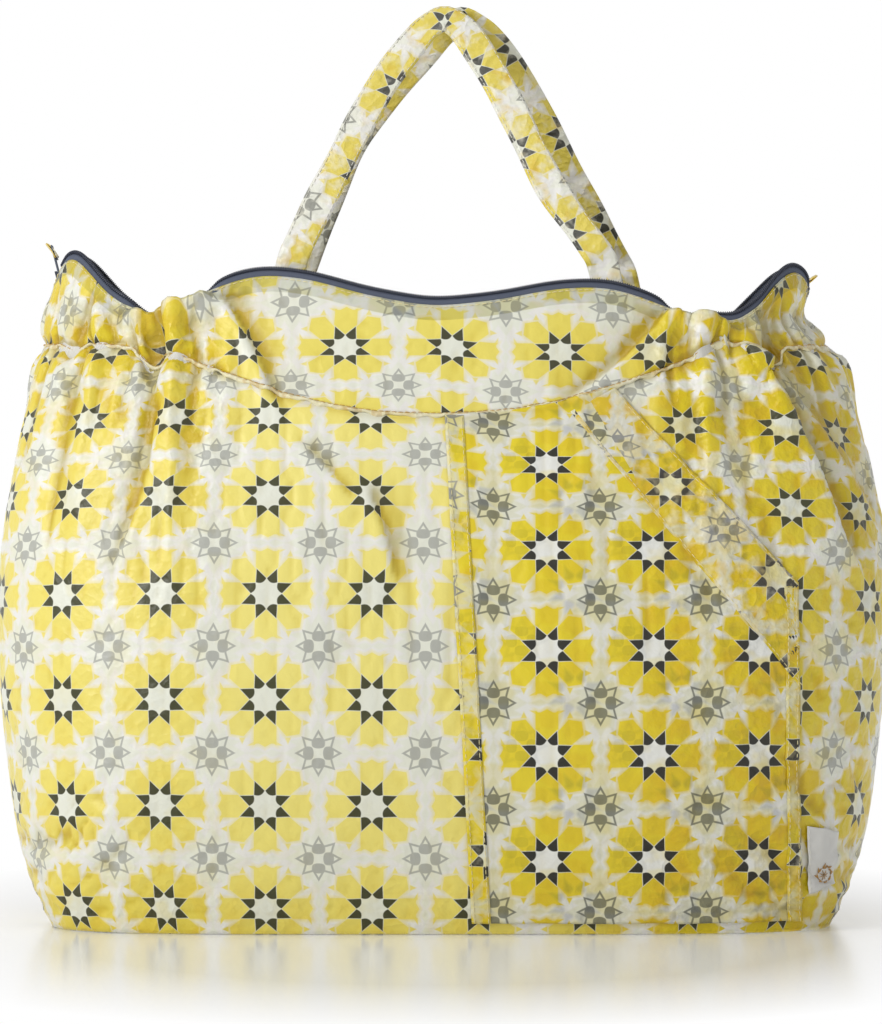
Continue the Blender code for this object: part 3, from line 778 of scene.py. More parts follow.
def motif_masks(tree, layer, phase, soft=SOFT):
    """The print's masks: petals, their outlines, kites, open centre, grey stars and pale bands.

    One repeat is 60.5 print units wide. A flower of eight petals round an eight-pointed star stands at its
    middle, and a smaller eight-pointed star round four barrels stands at its corners.
    """
    repeat = 60.5
    x, y = (part * (1 / PITCH) for part in layer_parts(tree, layer))
    turn22 = (math.cos(math.pi / 8), math.sin(math.pi / 8))
    root2 = math.sqrt(0.5)

    def folded(shift):
        px = abs((x + (phase[0] + shift)).fract() - 0.5) * repeat
        py = abs((y + (phase[1] + shift)).fract() - 0.5) * repeat
        return px.high(py), px.low(py)

    a, b = folded(0.5)
    along, beside = (a + b) * root2, (a - b) * root2
    tip_x = a * turn22[0] + b * turn22[1]
    tip_y = abs(b * turn22[0] - a * turn22[1])
    star = (0.456 * (16.1 - tip_x) - tip_y).over(soft)
    kite = (tip_x - 6.9 - 0.14 * (tip_y * tip_y)).over(soft)
    kite = kite * (0.456 * (16.0 - tip_x) - 0.25 - tip_y).over(soft)
    axis_end = 24.9 + (1.9 - 0.55 * b).high(0.0) + (0.4 * (b - 4.8)).high(0.0)

    def petals(grown, edge):
        on_axis = (6.5 + grown - b).over(edge) * (axis_end + grown - a).over(edge)
        on_diagonal = (4.5 + 0.07 * along + grown - beside).over(edge)
        return on_axis.high(on_diagonal * (27.6 + grown - 0.72 * beside - along).over(edge))

    petal = petals(0.0, soft) * (1.0 - star)
    flame = (26.0 - a).over(0.8) * (a - 23.2 - 0.69 * (b - 6.0)).over(0.8) * (b - 5.4).over(0.8)
    flame = flame.high((a - 21.3).over(0.8) * (12.6 - 0.5 * a - abs(b - 13.0)).over(0.8))
    outline = (petals(1.5, 2.2) * 0.6).high(flame)
    band = (petals(3.4, 1.4)).high((4.2 - (abs(a - 26.0) + abs(b - 11.0) * 0.6)).over(1.4))

    c, d = folded(0.0)
    c_along, c_beside = (c + d) * root2, (c - d) * root2
    axis_edge = (0.562 * (13.5 - c) - d) / 1.147
    diagonal_edge = (0.562 * (13.5 - c_along) - c_beside) / 1.147
    inside = axis_edge.high(diagonal_edge)
    ring = inside.over(soft) * (1.15 - inside).over(soft) * (c * c + d * d - 62.0).over(4.0)
    barrel_x = (c - 5.7) / 3.0
    barrel_y = d / (3.45 + 0.06 * c)
    barrel = (1.0 - (barrel_x * barrel_x * barrel_x * barrel_x + barrel_y * barrel_y).root()).over(0.16)
    grey = ring.high(barrel)
    return {"petal": petal, "outline": outline, "kite": kite, "star": star, "grey": grey, "band": band}


def paint(tree, masks, yellow, dark, grey, cream, pale, centre, glow=0.8):
    colour = mix(tree, masks["band"], cream, pale)
    colour = mix(tree, masks["outline"] * glow, colour, yellow)
    colour = mix(tree, masks["grey"], colour, grey)
    colour = mix(tree, masks["petal"], colour, yellow)
    colour = mix(tree, masks["star"], colour, centre)
    return mix(tree, masks["kite"], colour, dark)


def new_material(name, roughness=0.5):
    material = bpy.data.materials.new(name)
    material.use_nodes = True
    shader = material.node_tree.nodes["Principled BSDF"]
    shader.inputs["Roughness"].default_value = roughness
    return material, material.node_tree, shader


def bump(tree, shader, height, strength, distance):
    node = tree.nodes.new("ShaderNodeBump")
    node.inputs["Strength"].default_value = strength
    node.inputs["Distance"].default_value = distance
    tree.links.new(height.socket if isinstance(height, Shade) else height, node.inputs["Height"])
    tree.links.new(node.outputs[0], shader.inputs["Normal"])


def noise(tree, scale, detail=3.0):
    place = tree.nodes.new("ShaderNodeTexCoord")
    node = tree.nodes.new("ShaderNodeTexNoise")
    node.inputs["Scale"].default_value = scale
    node.inputs["Detail"].default_value = detail
    tree.links.new(place.outputs["Object"], node.inputs["Vector"])
    return Shade(tree, node.outputs["Fac"])


def cloth_relief(tree, shader, strength, folds):
    """Sharp little creases of thin nylon, strongest near the gathers and hems, and its plain weave."""
    soft = noise(tree, 48.0, 3.0)
    crease = 1.0 - abs(noise(tree, 62.0, 2.5) - 0.5) * 2.0
    fine = 1.0 - abs(noise(tree, 170.0, 2.0) - 0.5) * 2.0
    thread_x, thread_y = layer_parts(tree, "print")
    turns = 2 * math.pi / (0.55 * MM)
    weave = (thread_x * turns).sine() * (thread_y * turns).sine()
    crumple = layer_parts(tree, "fold")[1] * 0.8 + 0.2 if folds else 0.8
    height = soft * 0.45 + (crease * crease * 1.3 + fine * fine * 0.3) * crumple + weave * 0.010
    bump(tree, shader, height, strength, 3.0 * MM)


def tinted(tree, colour, share, tint):
    """The colour as it looks through a tint, by a share."""
    return mix(tree, 1.0, colour, mix(tree, share, WHITE, tint), "MULTIPLY")


def printed(name, phase, yellow=(238, 224, 122), deep=(219, 196, 8), dark=(54, 54, 12), grey=(174, 175, 166),
            cream=CREAM, pale=PALE, centre=CREAM, under=None, under_layer="print", relief=0.42, folds=True,
            strip=None, blotch=0.0):
    """Printed nylon. Its yellow is deeper where the cloth is bunched, as layers show through each other, and
    deeper still in painted shade in fold valleys and towards the bag's right end.

    With `under`, the print of the layer behind shows through as softer, bluer shapes. `strip` limits that to
    a strip this deep below the mouth edge. `blotch` washes the colours unevenly, as crumpled layers do.
    """
    material, tree, shader = new_material(name, 0.38)
    masks = motif_masks(tree, "print", phase)
    petal_colour, glow = linear(*yellow), 0.8
    # The petals' deeper yellow: bunched cloth near the gathers, and painted shade in fold valleys and
    # towards the right end.
    if folds:
        valley_shade, bunched_and_shade = layer_parts(tree, "fold")
        glow = bunched_and_shade * 0.5 + 0.8
        petal_colour = mix(tree, (bunched_and_shade + valley_shade * 0.6).low(1.0), petal_colour, linear(*deep))
    colour = paint(tree, masks, petal_colour, linear(*dark), linear(*grey), cream, pale, centre, glow)
    if under is not None:
        ghost = motif_masks(tree, under_layer, under, soft=2.4)
        shown = 1.0
        if strip:
            _, below = layer_parts(tree, "edge")
            shown = (strip - below).over(0.6 * MM)
        tint = mix(tree, ghost["petal"] * shown * 0.38, WHITE, linear(246, 232, 130))
        tint = mix(tree, ghost["grey"] * shown * 0.24, tint, linear(160, 168, 184))
        tint = mix(tree, ghost["kite"] * shown * 0.32, tint, linear(120, 132, 172))
        if strip:
            tint = tinted(tree, tint, shown, STRIP_TINT)
        colour = mix(tree, 1.0, colour, tint, "MULTIPLY")
    if blotch:
        wash = (noise(tree, 130.0, 3.0) - 0.5) * 5.0
        colour = mix(tree, wash.held() * blotch, colour, linear(238, 234, 214))
        stain = (noise(tree, 95.0, 2.0) - 0.56) * 6.0
        colour = tinted(tree, colour, stain.held() * blotch, linear(244, 214, 120))
    # Blotchy yellow where bunched layers show through, which is also painted shade in folds and towards the
    # right end. Then a painted, yellowed shade in fold valleys.
    if folds:
        show_through_and_shade = ((noise(tree, 75.0, 2.0) - 0.47) * 7.0).held() * (bunched_and_shade + valley_shade * 0.5).low(1.0)
        colour = tinted(tree, colour, show_through_and_shade * 0.6, linear(252, 234, 130))
        colour = tinted(tree, colour, valley_shade * 0.85, FOLD_SHADE_TINT)
    tree.links.new(colour, shader.inputs["Base Color"])
    shader.inputs["Sheen Weight"].default_value = 0.15
    shader.inputs["Sheen Roughness"].default_value = 0.4
    cloth_relief(tree, shader, relief, folds)
    return material


def varied(tree, share, colour, vary):
    """A colour that gets this much deeper and lighter with share."""
    base = linear(*colour)
    deeper, lighter = (tuple(min(c * (1 + change), 1.0) for c in base) for change in (-vary, vary))
    return mix(tree, share, deeper, lighter)


def plain(name, colour, roughness=0.6, metallic=0.0, grain=0.0, scale=400.0, vary=0.12):
    """One colour with a little natural variation, and a grain."""
    material, tree, shader = new_material(name, roughness)
    tree.links.new(varied(tree, noise(tree, 60.0), colour, vary), shader.inputs["Base Color"])
    shader.inputs["Metallic"].default_value = metallic
    if grain:
        bump(tree, shader, noise(tree, scale, 4.0), grain, 0.3 * MM)
    return material


def woven(name, colour, thread=0.5 * MM, roughness=0.75, strength=0.5, vary=0.15):
    """A narrow tape with a visible weave in its own UV directions."""
    material, tree, shader = new_material(name, roughness)
    x, y = (part * (2 * math.pi / thread) for part in layer_parts(tree, "print"))
    twill = (x + y).sine() * 0.5 + 0.5
    tree.links.new(varied(tree, twill, colour, vary), shader.inputs["Base Color"])
    bump(tree, shader, twill, strength, 0.15 * MM)
    return material


BODY_PHASE = (0.646, 0.735)
POCKET_PHASE = (0.01, 0.26)
BAND_PHASE = (0.89, 0.84)

body_print = printed("printed_nylon", BODY_PHASE)
band_print = printed(
    "printed_nylon_band", BAND_PHASE, yellow=(232, 216, 100), dark=(52, 51, 18), under=(0.35, 0.62),
    strip=9 * MM)
pocket_print = printed(
    "printed_nylon_pocket", POCKET_PHASE, yellow=(227, 206, 34), deep=(216, 190, 14), dark=(24, 22, 4),
    grey=(128, 129, 116), cream=linear(218, 217, 196), pale=linear(225, 224, 216),
    centre=linear(231, 231, 224), under=(0.746, 0.665), under_layer="under")
facing_print = printed(
    "printed_nylon_facing", (0.3, 0.1), yellow=(216, 194, 60), dark=(70, 70, 66), grey=(150, 150, 146),
    cream=linear(222, 218, 196), pale=linear(220, 222, 220), under=POCKET_PHASE, folds=False)
strap_print = printed(
    "printed_nylon_strap", (0.12, 0.0), yellow=(222, 203, 86), dark=(66, 66, 58), grey=(150, 150, 140),
    cream=linear(228, 228, 214), relief=0.5, folds=False, blotch=0.55)
seam_print = printed(
    "printed_nylon_seam", (0.2, 0.5), yellow=(228, 196, 70), dark=(176, 132, 56), grey=(212, 194, 146),
    cream=linear(226, 218, 178), pale=linear(224, 218, 184), relief=0.6, folds=False, blotch=0.5)
hem_print = printed(
    "printed_nylon_hem", (0.50, 0.20), yellow=(228, 206, 28), dark=(36, 34, 16), grey=(140, 140, 128),
    cream=linear(222, 214, 150), pale=linear(218, 214, 180), under=(0.35, 0.55), relief=0.6, blotch=0.3)
mouth_print = printed(
    "printed_nylon_mouth", (0.84, 0.52), yellow=(222, 190, 46), dark=(56, 54, 50), grey=(146, 146, 142),
    cream=linear(220, 214, 188), pale=linear(220, 220, 212), under=POCKET_PHASE, relief=0.6, blotch=0.45)
thread_cream = plain("thread_cream", (232, 220, 168), 0.55)
thread_amber = plain("thread_amber", (186, 140, 52), 0.5)
thread_white = plain("thread_white", (226, 224, 214), 0.55)
tape_blue = woven("zip_tape_woven", (82, 89, 106), 0.6 * MM)
tape_node = plain("zip_tape_plain", (92, 100, 116), 0.75, grain=0.3, scale=900.0)
coil_blue = plain("zip_coil_nylon", (46, 51, 66), 0.32, grain=0.1)
metal_dark = plain("zip_metal", (74, 76, 84), 0.28, metallic=1.0, grain=0.05)
binding_white = woven("binding_woven", (222, 220, 210), 0.7 * MM)
elastic_white = woven("elastic_woven", (226, 224, 216), 1.1 * MM, strength=0.8)
satin = woven("label_satin_woven", (214, 213, 208), 0.3 * MM, roughness=0.35, strength=0.25, vary=0.05)
gold = plain("label_gold_thread", (170, 132, 78), 0.35, metallic=0.6, grain=0.6, scale=1500.0, vary=0.35)


# ---------------------------------------------------------------- the cloth body
def band_level(u, below_edge):
    """The level that lies this far below the mouth edge, along the cloth."""
    top = body.cloth_v(u, np.full_like(u, 2.0))
    seam = body.cloth_v(u, np.full_like(u, 1.0))
    return 2.0 - below_edge / (top - seam)


def body_sheet(node, u_low, u_high, first, last, rows, material):
    """One panel or band of the body, between two cloth positions and two levels."""
    u, level = np.meshgrid(
        np.linspace(u_low, u_high, 4 * QUARTER_COLUMNS + 1), np.linspace(first, last, rows + 1))
    points = body.at(u, level, np.zeros(u.shape))
    edge = np.stack([u, body.cloth_v(u, np.full(u.shape, 2.0)) - body.cloth_v(u, level)], axis=-1)
    layers = {"print": body.print_uv(u, level), "fold": body.fold_shade_uv(u, level), "edge": edge}
    grid_piece(node + "_cloth", points, layers, material, replaces=[node])


for part, first, last, rows, material in (
    ("panel", 0.0, 1.0, 2 * PANEL_ROWS, body_print), ("band", 1.002, 2.0, 2 * BAND_ROWS, band_print),
):
    body_sheet(f"front_{part}", -HALF, HALF, first, last, rows, material)
    body_sheet(f"back_{part}", HALF, 3 * HALF, first, last, rows, material)


def base_sheet():
    """The base: rings of the foot of the body drawn in to its middle, with a little unevenness."""
    rim = body.at(COLUMN_U, np.zeros(COLUMNS), np.full(COLUMNS, -0.6 * MM))
    rings = []
    for share in np.linspace(1.0, 0.0, 24)[:-1]:
        ring = rim * np.array([share, share, 0.0])
        ring[:, 2] = 0.6 * MM + 0.25 * MM * (1 - share) * (1 + wander(ring[:, 0], 31, (0.07, 0.11)))
        rings.append(ring)
    points = np.array(rings)[:, list(range(COLUMNS)) + [0]]
    uv = points[:, :, :2]
    grid_piece("base_cloth", points, {"print": uv, "fold": uv * 0.0}, body_print, replaces=["base_panel"],
               thick=0.4 * MM)


base_sheet()


# ---------------------------------------------------------------- the band, seam and inner pieces
def ring_frame():
    """Along the dense mouth edge: place, direction up out of the cloth, and outward normal."""
    rim = body.points[-1]
    up = rim - body.points[-7]
    up = smooth_ring(up[None], 6)[0]
    up /= np.linalg.norm(up, axis=1, keepdims=True)
    out = smooth_ring(body.normals[-1][None], 6)[0]
    out -= up * (out * up).sum(axis=1, keepdims=True)
    out /= np.linalg.norm(out, axis=1, keepdims=True)
    return rim, up, out


RIM, RIM_UP, RIM_OUT = ring_frame()


def rim_columns(node):
    """The dense mouth columns that this zip node spans, in order to the right as seen from outside."""
    low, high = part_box(node)
    count = len(RIM)
    start = count // 4 if low.y + high.y < 0 else count // 4 * 3
    order = np.arange(start, start + count // 2 + 1) % count
    keep = (RIM[order, 0] > low.x) & (RIM[order, 0] < high.x)
    return order[keep]


TAPE_RISES = (-2.5 * MM, -1.2 * MM, 0.0, 2.0 * MM, 4.0 * MM)
TAPE_OUTS = (-0.7 * MM, -0.7 * MM, -0.6 * MM, -0.5 * MM, -0.5 * MM)


def rim_strip(name, node, material, thick):
    """The zip's tape: a strip along the mouth edge, from inside the band to above it."""
    order = rim_columns(node)
    rows = zip(TAPE_RISES, TAPE_OUTS)
    points = np.array([RIM[order] + RIM_UP[order] * rise + RIM_OUT[order] * out for rise, out in rows])
    uv = np.stack(np.broadcast_arrays(run_of(RIM[order]), np.array(TAPE_RISES)[:, None]), axis=-1)
    grid_piece(name, points, {"print": uv}, material, replaces=[node], thick=thick)


COIL_RISE, COIL_OUT, COIL_RADIUS = 4.6 * MM, -0.6 * MM, 1.1 * MM
COIL_WIRE, COIL_PITCH, TURN_STEPS = 0.28 * MM, 1.3 * MM, 10


def helix(name, node):
    """The zip's coil: one spring of nylon thread wound along the mouth edge, with its cord inside."""
    order = rim_columns(node)
    centre = RIM[order] + RIM_UP[order] * COIL_RISE + RIM_OUT[order] * COIL_OUT
    even, up = resample(centre, COIL_PITCH / TURN_STEPS, RIM_UP[order])
    _, side, up = frames_on(even, up)
    turn = (np.arange(len(even)) * 2 * math.pi / TURN_STEPS)[:, None]
    path = even + up * (np.cos(turn) * COIL_RADIUS) + side * (np.sin(turn) * COIL_RADIUS * 0.8)
    corners, faces = tube_mesh(path, side, COIL_WIRE, 5)
    inner, inner_faces = tube_mesh(even[::5], side[::5], COIL_RADIUS * 0.72, 6, len(corners))
    coil = new_piece(name, np.concatenate([corners, inner]), faces + inner_faces, {}, coil_blue)
    dress(coil, "bag", [node])


def tube_mesh(path, hint, radius, sides, base=0):
    """Corners and faces of a closed tube along a path."""
    _, side, up = frames_on(path, hint)
    angles = np.arange(sides) * 2 * math.pi / sides
    rings = (
        path[:, None] + side[:, None] * (np.cos(angles) * radius)[None, :, None]
        + up[:, None] * (np.sin(angles) * radius)[None, :, None]
    )
    return rings.reshape(-1, 3), closed_tube(base, len(path), sides)


def lifted(u, level, out):
    """A line over the cloth at these places and this far out, as (path, normals)."""
    return body.at(u, level, out), body.read(body.normals, u, level)


def seam_line(u_low, u_high, level_shift, out, seed, step=0.9 * MM):
    """A slightly uneven line along the elastic seam, as (path, normals)."""
    count = int((u_high - u_low) / step)
    u = np.linspace(u_low, u_high, count)
    level = 1.0 + level_shift + 0.004 * wander(u, seed, (0.013, 0.021, 0.034))
    return lifted(u, level, out + 0.3 * MM * wander(u, seed + 1, (0.009, 0.015)))


def seam_welt(name, u_low, u_high, material):
    """The turned edge of the band along the seam: a narrow raised fold, pinched into small waves."""
    count = int((u_high - u_low) / (1.2 * MM))
    u = np.linspace(u_low, u_high, count)
    pull = gathered(u)
    ripple = wander(u, 41, (0.011, 0.017, 0.026))
    profile = ((-0.004, -0.2), (-0.003, 0.9), (0.002, 1.3), (0.009, 1.1), (0.016, 0.1))
    rows = []
    for shift, rise in profile:
        level = 1.0 + shift + 0.004 * ripple
        rows.append(body.at(u, level, (rise + (0.5 + 0.5 * pull) * ripple * (rise > 0.5)) * MM))
    shifts = np.array([shift for shift, _ in profile])
    uv = np.stack(np.broadcast_arrays(u, shifts[:, None] * 0.1), axis=-1)
    grid_piece(name, np.array(rows), {"print": uv}, material, thick=0.35 * MM)


def strip_on(name, u, level, out, node, material, thick=0.5 * MM):
    """A strip round the inside of the body, over a grid of cloth places."""
    u, level = np.broadcast_arrays(u, level)
    points = body.at(u, level, np.full(u.shape, out))
    layers = {"print": body.print_uv(u, level)}
    grid_piece(name, points, layers, material, replaces=[node], thick=thick)


FACING_DEEP = 17 * MM
for word, u_middle in (("front", 0.0), ("back", 2 * HALF)):
    u_line = np.linspace(u_middle - 0.99 * HALF, u_middle + 0.985 * HALF, 300)
    low, high = band_level(u_line, FACING_DEEP), band_level(u_line, 0.5 * MM)
    strip_on(word + "_facing_cloth", u_line, low + (high - low) * np.linspace(0.0, 1.0, 5)[:, None],
             -1.6 * MM, word + "_band_facing", facing_print)
    rim_strip(word + "_tape_woven", word + "_zip_tape", tape_blue, 0.6 * MM)
    helix(word + "_coil_wound", word + "_zip_coil")
    seam_welt(word + "_seam_welt", u_middle - HALF + 0.5 * MM, u_middle + HALF - 0.5 * MM, seam_print)

for side, u_middle in (("left", -HALF), ("right", HALF)):
    u_line = np.linspace(u_middle - 0.58 * HALF, u_middle + 0.58 * HALF, 160)
    strip_on(f"elastic_{side}_woven", u_line, np.linspace(0.984, 1.12, 3)[:, None], -1.0 * MM,
             f"elastic_{side}", elastic_white, thick=0.7 * MM)
    u_line = u_middle + np.linspace(-4 * MM, 4 * MM, 7)
    strip_on(f"side_binding_{side}", u_line, np.linspace(0.04, 0.97, 60)[:, None], -0.9 * MM,
             f"side_seam_binding_{side}", binding_white)
strip_on("base_binding_woven", np.linspace(-2 * HALF, 2 * HALF, 481), np.linspace(0.006, 0.030, 3)[:, None],
         -0.9 * MM, "base_seam_binding", binding_white)


# ---------------------------------------------------------------- pocket, read off its CAD node
pocket_tree = tree_of("pocket_panel")
pocket_low, pocket_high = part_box("pocket_panel")
facing_low, facing_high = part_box("pocket_mouth_facing")


def covered(x, z):
    return pocket_tree.ray_cast(Vector((x, -0.3, z)), Vector((0.0, 1.0, 0.0)))[0] is not None


def pocket_edge(inside, outside_point):
    """The pocket's edge between a covered point and one that isn't, as (x, height)."""
    a, b = np.array(inside), np.array(outside_point)
    for _ in range(16):
        middle = (a + b) / 2
        if covered(*middle):
            a = middle
        else:
            b = middle
    return a


FOOT_Z, LEFT_TOP_Z, RIGHT_HIGH_Z = pocket_low.z + 0.003, 0.270, 0.17  # heights at which its sides are found
WITHIN_X, WITHIN_TOP_X, LEFT_OF_IT, RIGHT_OF_IT = 0.09, 0.05, -0.06, 0.27
WITHIN_Z, ABOVE_IT = 0.15, 0.33
left_foot = pocket_edge((WITHIN_X, FOOT_Z), (LEFT_OF_IT, FOOT_Z))
left_top = pocket_edge((WITHIN_TOP_X, LEFT_TOP_Z), (LEFT_OF_IT, LEFT_TOP_Z))
right_foot = pocket_edge((WITHIN_X, FOOT_Z), (RIGHT_OF_IT, FOOT_Z))
right_high = pocket_edge((WITHIN_X, RIGHT_HIGH_Z), (RIGHT_OF_IT, RIGHT_HIGH_Z))
mouth_a, mouth_b = (pocket_edge((x, WITHIN_Z), (x, ABOVE_IT)) for x in (0.17, 0.12))
mouth_slope = (mouth_b[1] - mouth_a[1]) / (mouth_b[0] - mouth_a[0])
corner = np.array([right_high[0], mouth_a[1] + mouth_slope * (right_high[0] - mouth_a[0])])
mouth_top = np.array([mouth_a[0] + (pocket_high.z - mouth_a[1]) / mouth_slope, pocket_high.z])


def on_line(points, share):
    """Points at shares 0..1 of the way along a polyline of (x, height)."""
    points = np.asarray(points, float)
    along = run_of(points)
    return read_at(share * along[-1], along, points)


def seam_z(x):
    """Height of the elastic seam at x on the front."""
    u, _ = body.find(np.asarray(x), np.full(np.shape(x), 0.28))
    return body.read(body.plain, u, np.ones_like(u))[..., 2]


def patch_on(name, left, right, columns, rows, out, material, node=None, puff=0.0, wave=0.0, seed=0):
    """A patch laid on the front panel between two polylines of (x, height), from their low ends up."""
    t, s = np.meshgrid(np.linspace(0.0, 1.0, rows + 1), np.linspace(0.0, 1.0, columns + 1), indexing="ij")
    a, b = on_line(left, t), on_line(right, t)
    place = a + (b - a) * s[..., None]
    u, level = body.find(place[..., 0], place[..., 1])
    inner = np.minimum(np.minimum(s, 1 - s) * 6, 1.0)
    ripple = wave * inner * wander(place[..., 0] + 0.6 * place[..., 1], seed, (0.031, 0.047, 0.083))
    points = body.at(u, level, out + puff * inner + ripple)
    under = body.print_uv(u, level)
    uv = np.stack([place[..., 0], under[..., 1]], axis=-1)
    grid_piece(name, points, {"print": uv, "under": under, "fold": body.fold_shade_uv(u, level)}, material,
               replaces=[node] if node else ())


top_z = float(seam_z(left_top[0])) - 0.5 * MM
left_slant = (left_top - left_foot) / (left_top[1] - left_foot[1])
left_line = [left_foot, left_top + left_slant * (top_z - left_top[1])]
mouth_end = np.array([mouth_top[0], min(mouth_top[1], float(seam_z(mouth_top[0])) - 0.5 * MM)])
right_line = [right_foot, corner, mouth_end]
patch_on("pocket_cloth", left_line, right_line, 150, 220, POCKET_OUT, pocket_print, node="pocket_panel",
         puff=0.5 * MM, wave=0.35 * MM, seed=51)
HEM_WIDE, RIGHT_HEM_WIDE = 10.5 * MM, 8 * MM


def beside(line, width):
    return [np.array(p) + np.array([width, 0.0]) for p in line]


patch_on("pocket_hem_left", left_line, beside(left_line, HEM_WIDE), 8, 200, HEM_OUT, hem_print,
         node="pocket_side_hem", wave=0.25 * MM, seed=53)
right_edge = [right_foot, corner - np.array([0.0, 2 * MM])]
patch_on("pocket_hem_right", beside(right_edge, -RIGHT_HEM_WIDE), right_edge, 6, 140, HEM_OUT, hem_print,
         wave=0.2 * MM, seed=55)
mouth_inner = [(facing_high.x - 1.2 * MM, facing_low.z), (facing_low.x, mouth_end[1] - 13 * MM)]
patch_on("pocket_mouth_cloth", mouth_inner, [corner, mouth_end], 26, 110, HEM_OUT, mouth_print,
         node="pocket_mouth_facing", wave=0.4 * MM, seed=57)


def stitched_line(line, inset):
    """A stitch line over the hems at a polyline of (x, height) moved sideways by inset."""
    place = on_line(line, np.linspace(0.0, 1.0, 260))
    step = np.gradient(place, axis=0)
    step /= np.linalg.norm(step, axis=1, keepdims=True)
    place = place + np.stack([step[:, 1], -step[:, 0]], axis=1) * inset
    return lifted(*body.find(place[:, 0], place[:, 1]), np.full(len(place), HEM_OUT + 0.1 * MM))


stitches("pocket_stitches", [stitched_line(line, inset) for line, inset in (
    (left_line, 1.6 * MM), (left_line, HEM_WIDE - 1.2 * MM), (right_edge, -1.4 * MM),
    (right_edge, -RIGHT_HEM_WIDE + 1.2 * MM), ([corner, mouth_end], -1.6 * MM), (mouth_inner, 1.4 * MM),
)], thread_cream)

edge_lines, seam_lines = [], []
for u_middle in (0.0, 2 * HALF):
    u = np.linspace(u_middle - 0.97 * HALF, u_middle + 0.97 * HALF, 700)
    edge_lines.append(lifted(u, band_level(u, 1.5 * MM), np.full(u.shape, 0.15 * MM)))
    seam_lines.append(seam_line(u_middle - HALF + 2 * MM, u_middle + HALF - 2 * MM, 0.012, 1.3 * MM, 61))
stitches("mouth_stitches", edge_lines, thread_cream)
stitches("seam_stitches", seam_lines, thread_amber)


# ---------------------------------------------------------------- label
LABEL_WIDE = 22 * MM
LABEL_COLUMNS, LABEL_ROWS = 24, 36
STAR_REACH, STAR_RAY = 7.02 * MM, 2.6 * MM


def normals_of_patch(points):
    """Outward normals of an open grid."""
    n = np.cross(np.gradient(points, axis=1), np.gradient(points, axis=0))
    return n / np.maximum(np.linalg.norm(n, axis=2, keepdims=True), 1e-12)


def make_label():
    low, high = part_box("label")
    tall, wide = high.z - low.z, LABEL_WIDE
    s, t = np.meshgrid(np.linspace(0.0, 1.0, LABEL_COLUMNS + 1), np.linspace(0.0, 1.0, LABEL_ROWS + 1))
    base_u, base_level = body.find(np.full(s.shape, low.x + 0.5 * MM), low.z - 1 * MM + (tall + 3 * MM) * t)
    u = base_u + wide * s
    level = base_level + (0.010 - 0.022 * t) * s
    lift = 1.6 * MM + 2.2 * MM * np.sin(s * math.pi * 0.8) + 0.5 * MM * np.sin(3 * t + 5 * s)
    points = body.at(u, level, lift)
    uv = np.stack([s * wide, t * tall], axis=-1)
    grid_piece("label_cloth", points, {"print": uv}, satin, rides="label_body", replaces=["label"],
               thick=0.5 * MM)
    normals = normals_of_patch(points)

    def on_label(across, up):
        row = np.clip(up * LABEL_ROWS, 0, LABEL_ROWS - 0.001)
        column = np.clip(across * LABEL_COLUMNS, 0, LABEL_COLUMNS - 0.001)
        normal = bilinear(normals, row, column)
        return bilinear(points, row, column) + normal * 0.25 * MM, normal

    def on_star(x, y):
        return on_label(0.52 + x / wide, 0.27 + y / tall)

    # The star is two squares, each sewn three times round, and eight rays.
    lines = []
    t = np.linspace(0.0, 1.0, 12)
    for k in range(8):
        a = (k // 4) * math.pi / 4 + (k % 4) * math.pi / 2
        b = a + math.pi / 2
        x = STAR_REACH * (math.cos(a) * (1 - t) + math.cos(b) * t)
        y = STAR_REACH * (math.sin(a) * (1 - t) + math.sin(b) * t)
        lines += [on_star(size * x, size * y) for size in (1.0, 0.93, 0.86)]
    ray = np.linspace(0.1, 2.1, 8) * STAR_RAY
    for k in range(8):
        a = (k + 0.5) * math.pi / 4
        lines.append(on_star(ray * math.cos(a), ray * math.sin(a)))
    stitches("label_star", lines, gold, rides="label_body")
    edge = [on_label(np.full(30, 0.05), np.linspace(0.03, 0.97, 30))]
    stitches("label_sewn_edge", edge, thread_white, rides="label_body")


make_label()


# ---------------------------------------------------------------- handles
STRAP_WIDE, STRAP_THICK, STRAP_STEP = 17.5 * MM, 1.5 * MM, 2.2 * MM
APEX_Y, APEX_Z = 1.2 * MM, 0.523  # where the two arches' planes meet, nearly


def arch_line(node, hinge):
    """The arch's centreline, read by casting rays across it in its own leaning plane."""
    tree = tree_of(node)
    foot = Vector((0.0, hinge.y, hinge.z))
    rise = Vector((0.0, math.copysign(APEX_Y, hinge.y) - foot.y, APEX_Z - foot.z)).normalized()
    left, right = [], []
    reach = (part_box(node)[1].z - foot.z) / rise.z
    for share in np.linspace(0.02, 0.97, 60):
        at = foot + rise * reach * share + Vector((-0.2, 0.0, 0.0))
        hits = []
        while (hit := tree.ray_cast(at, Vector((1.0, 0.0, 0.0)), 0.5)[0]) is not None:
            hits.append(hit)
            at = hit + Vector((1e-4, 0.0, 0.0))
        if len(hits) != 4:
            break
        left.append((hits[0] + hits[1]) / 2)
        right.append((hits[2] + hits[3]) / 2)
    top = (left[-1] + right[-1]) / 2
    top = top + rise * (reach - (top - foot).dot(rise) - STRAP_WIDE * 0.47)
    return np.array(left), np.array(top), np.array(right[::-1]), np.array(rise)


def leg_line(node):
    """From the sewn lower end of a leg up to the hinge, along the leg's middle."""
    places = np.array([v.co for v in frame["nodes"][node].data.vertices])
    low, high = places[:, 2].min(), places[:, 2].max()
    line = []
    for k in range(7):
        z0, z1 = low + (high - low) * k / 7, low + (high - low) * (k + 1) / 7
        inside = places[(places[:, 2] >= z0 - 1e-5) & (places[:, 2] <= z1 + 1e-5)]
        if len(inside):
            line.append((inside.min(axis=0) + inside.max(axis=0)) / 2)
    return np.array(line)


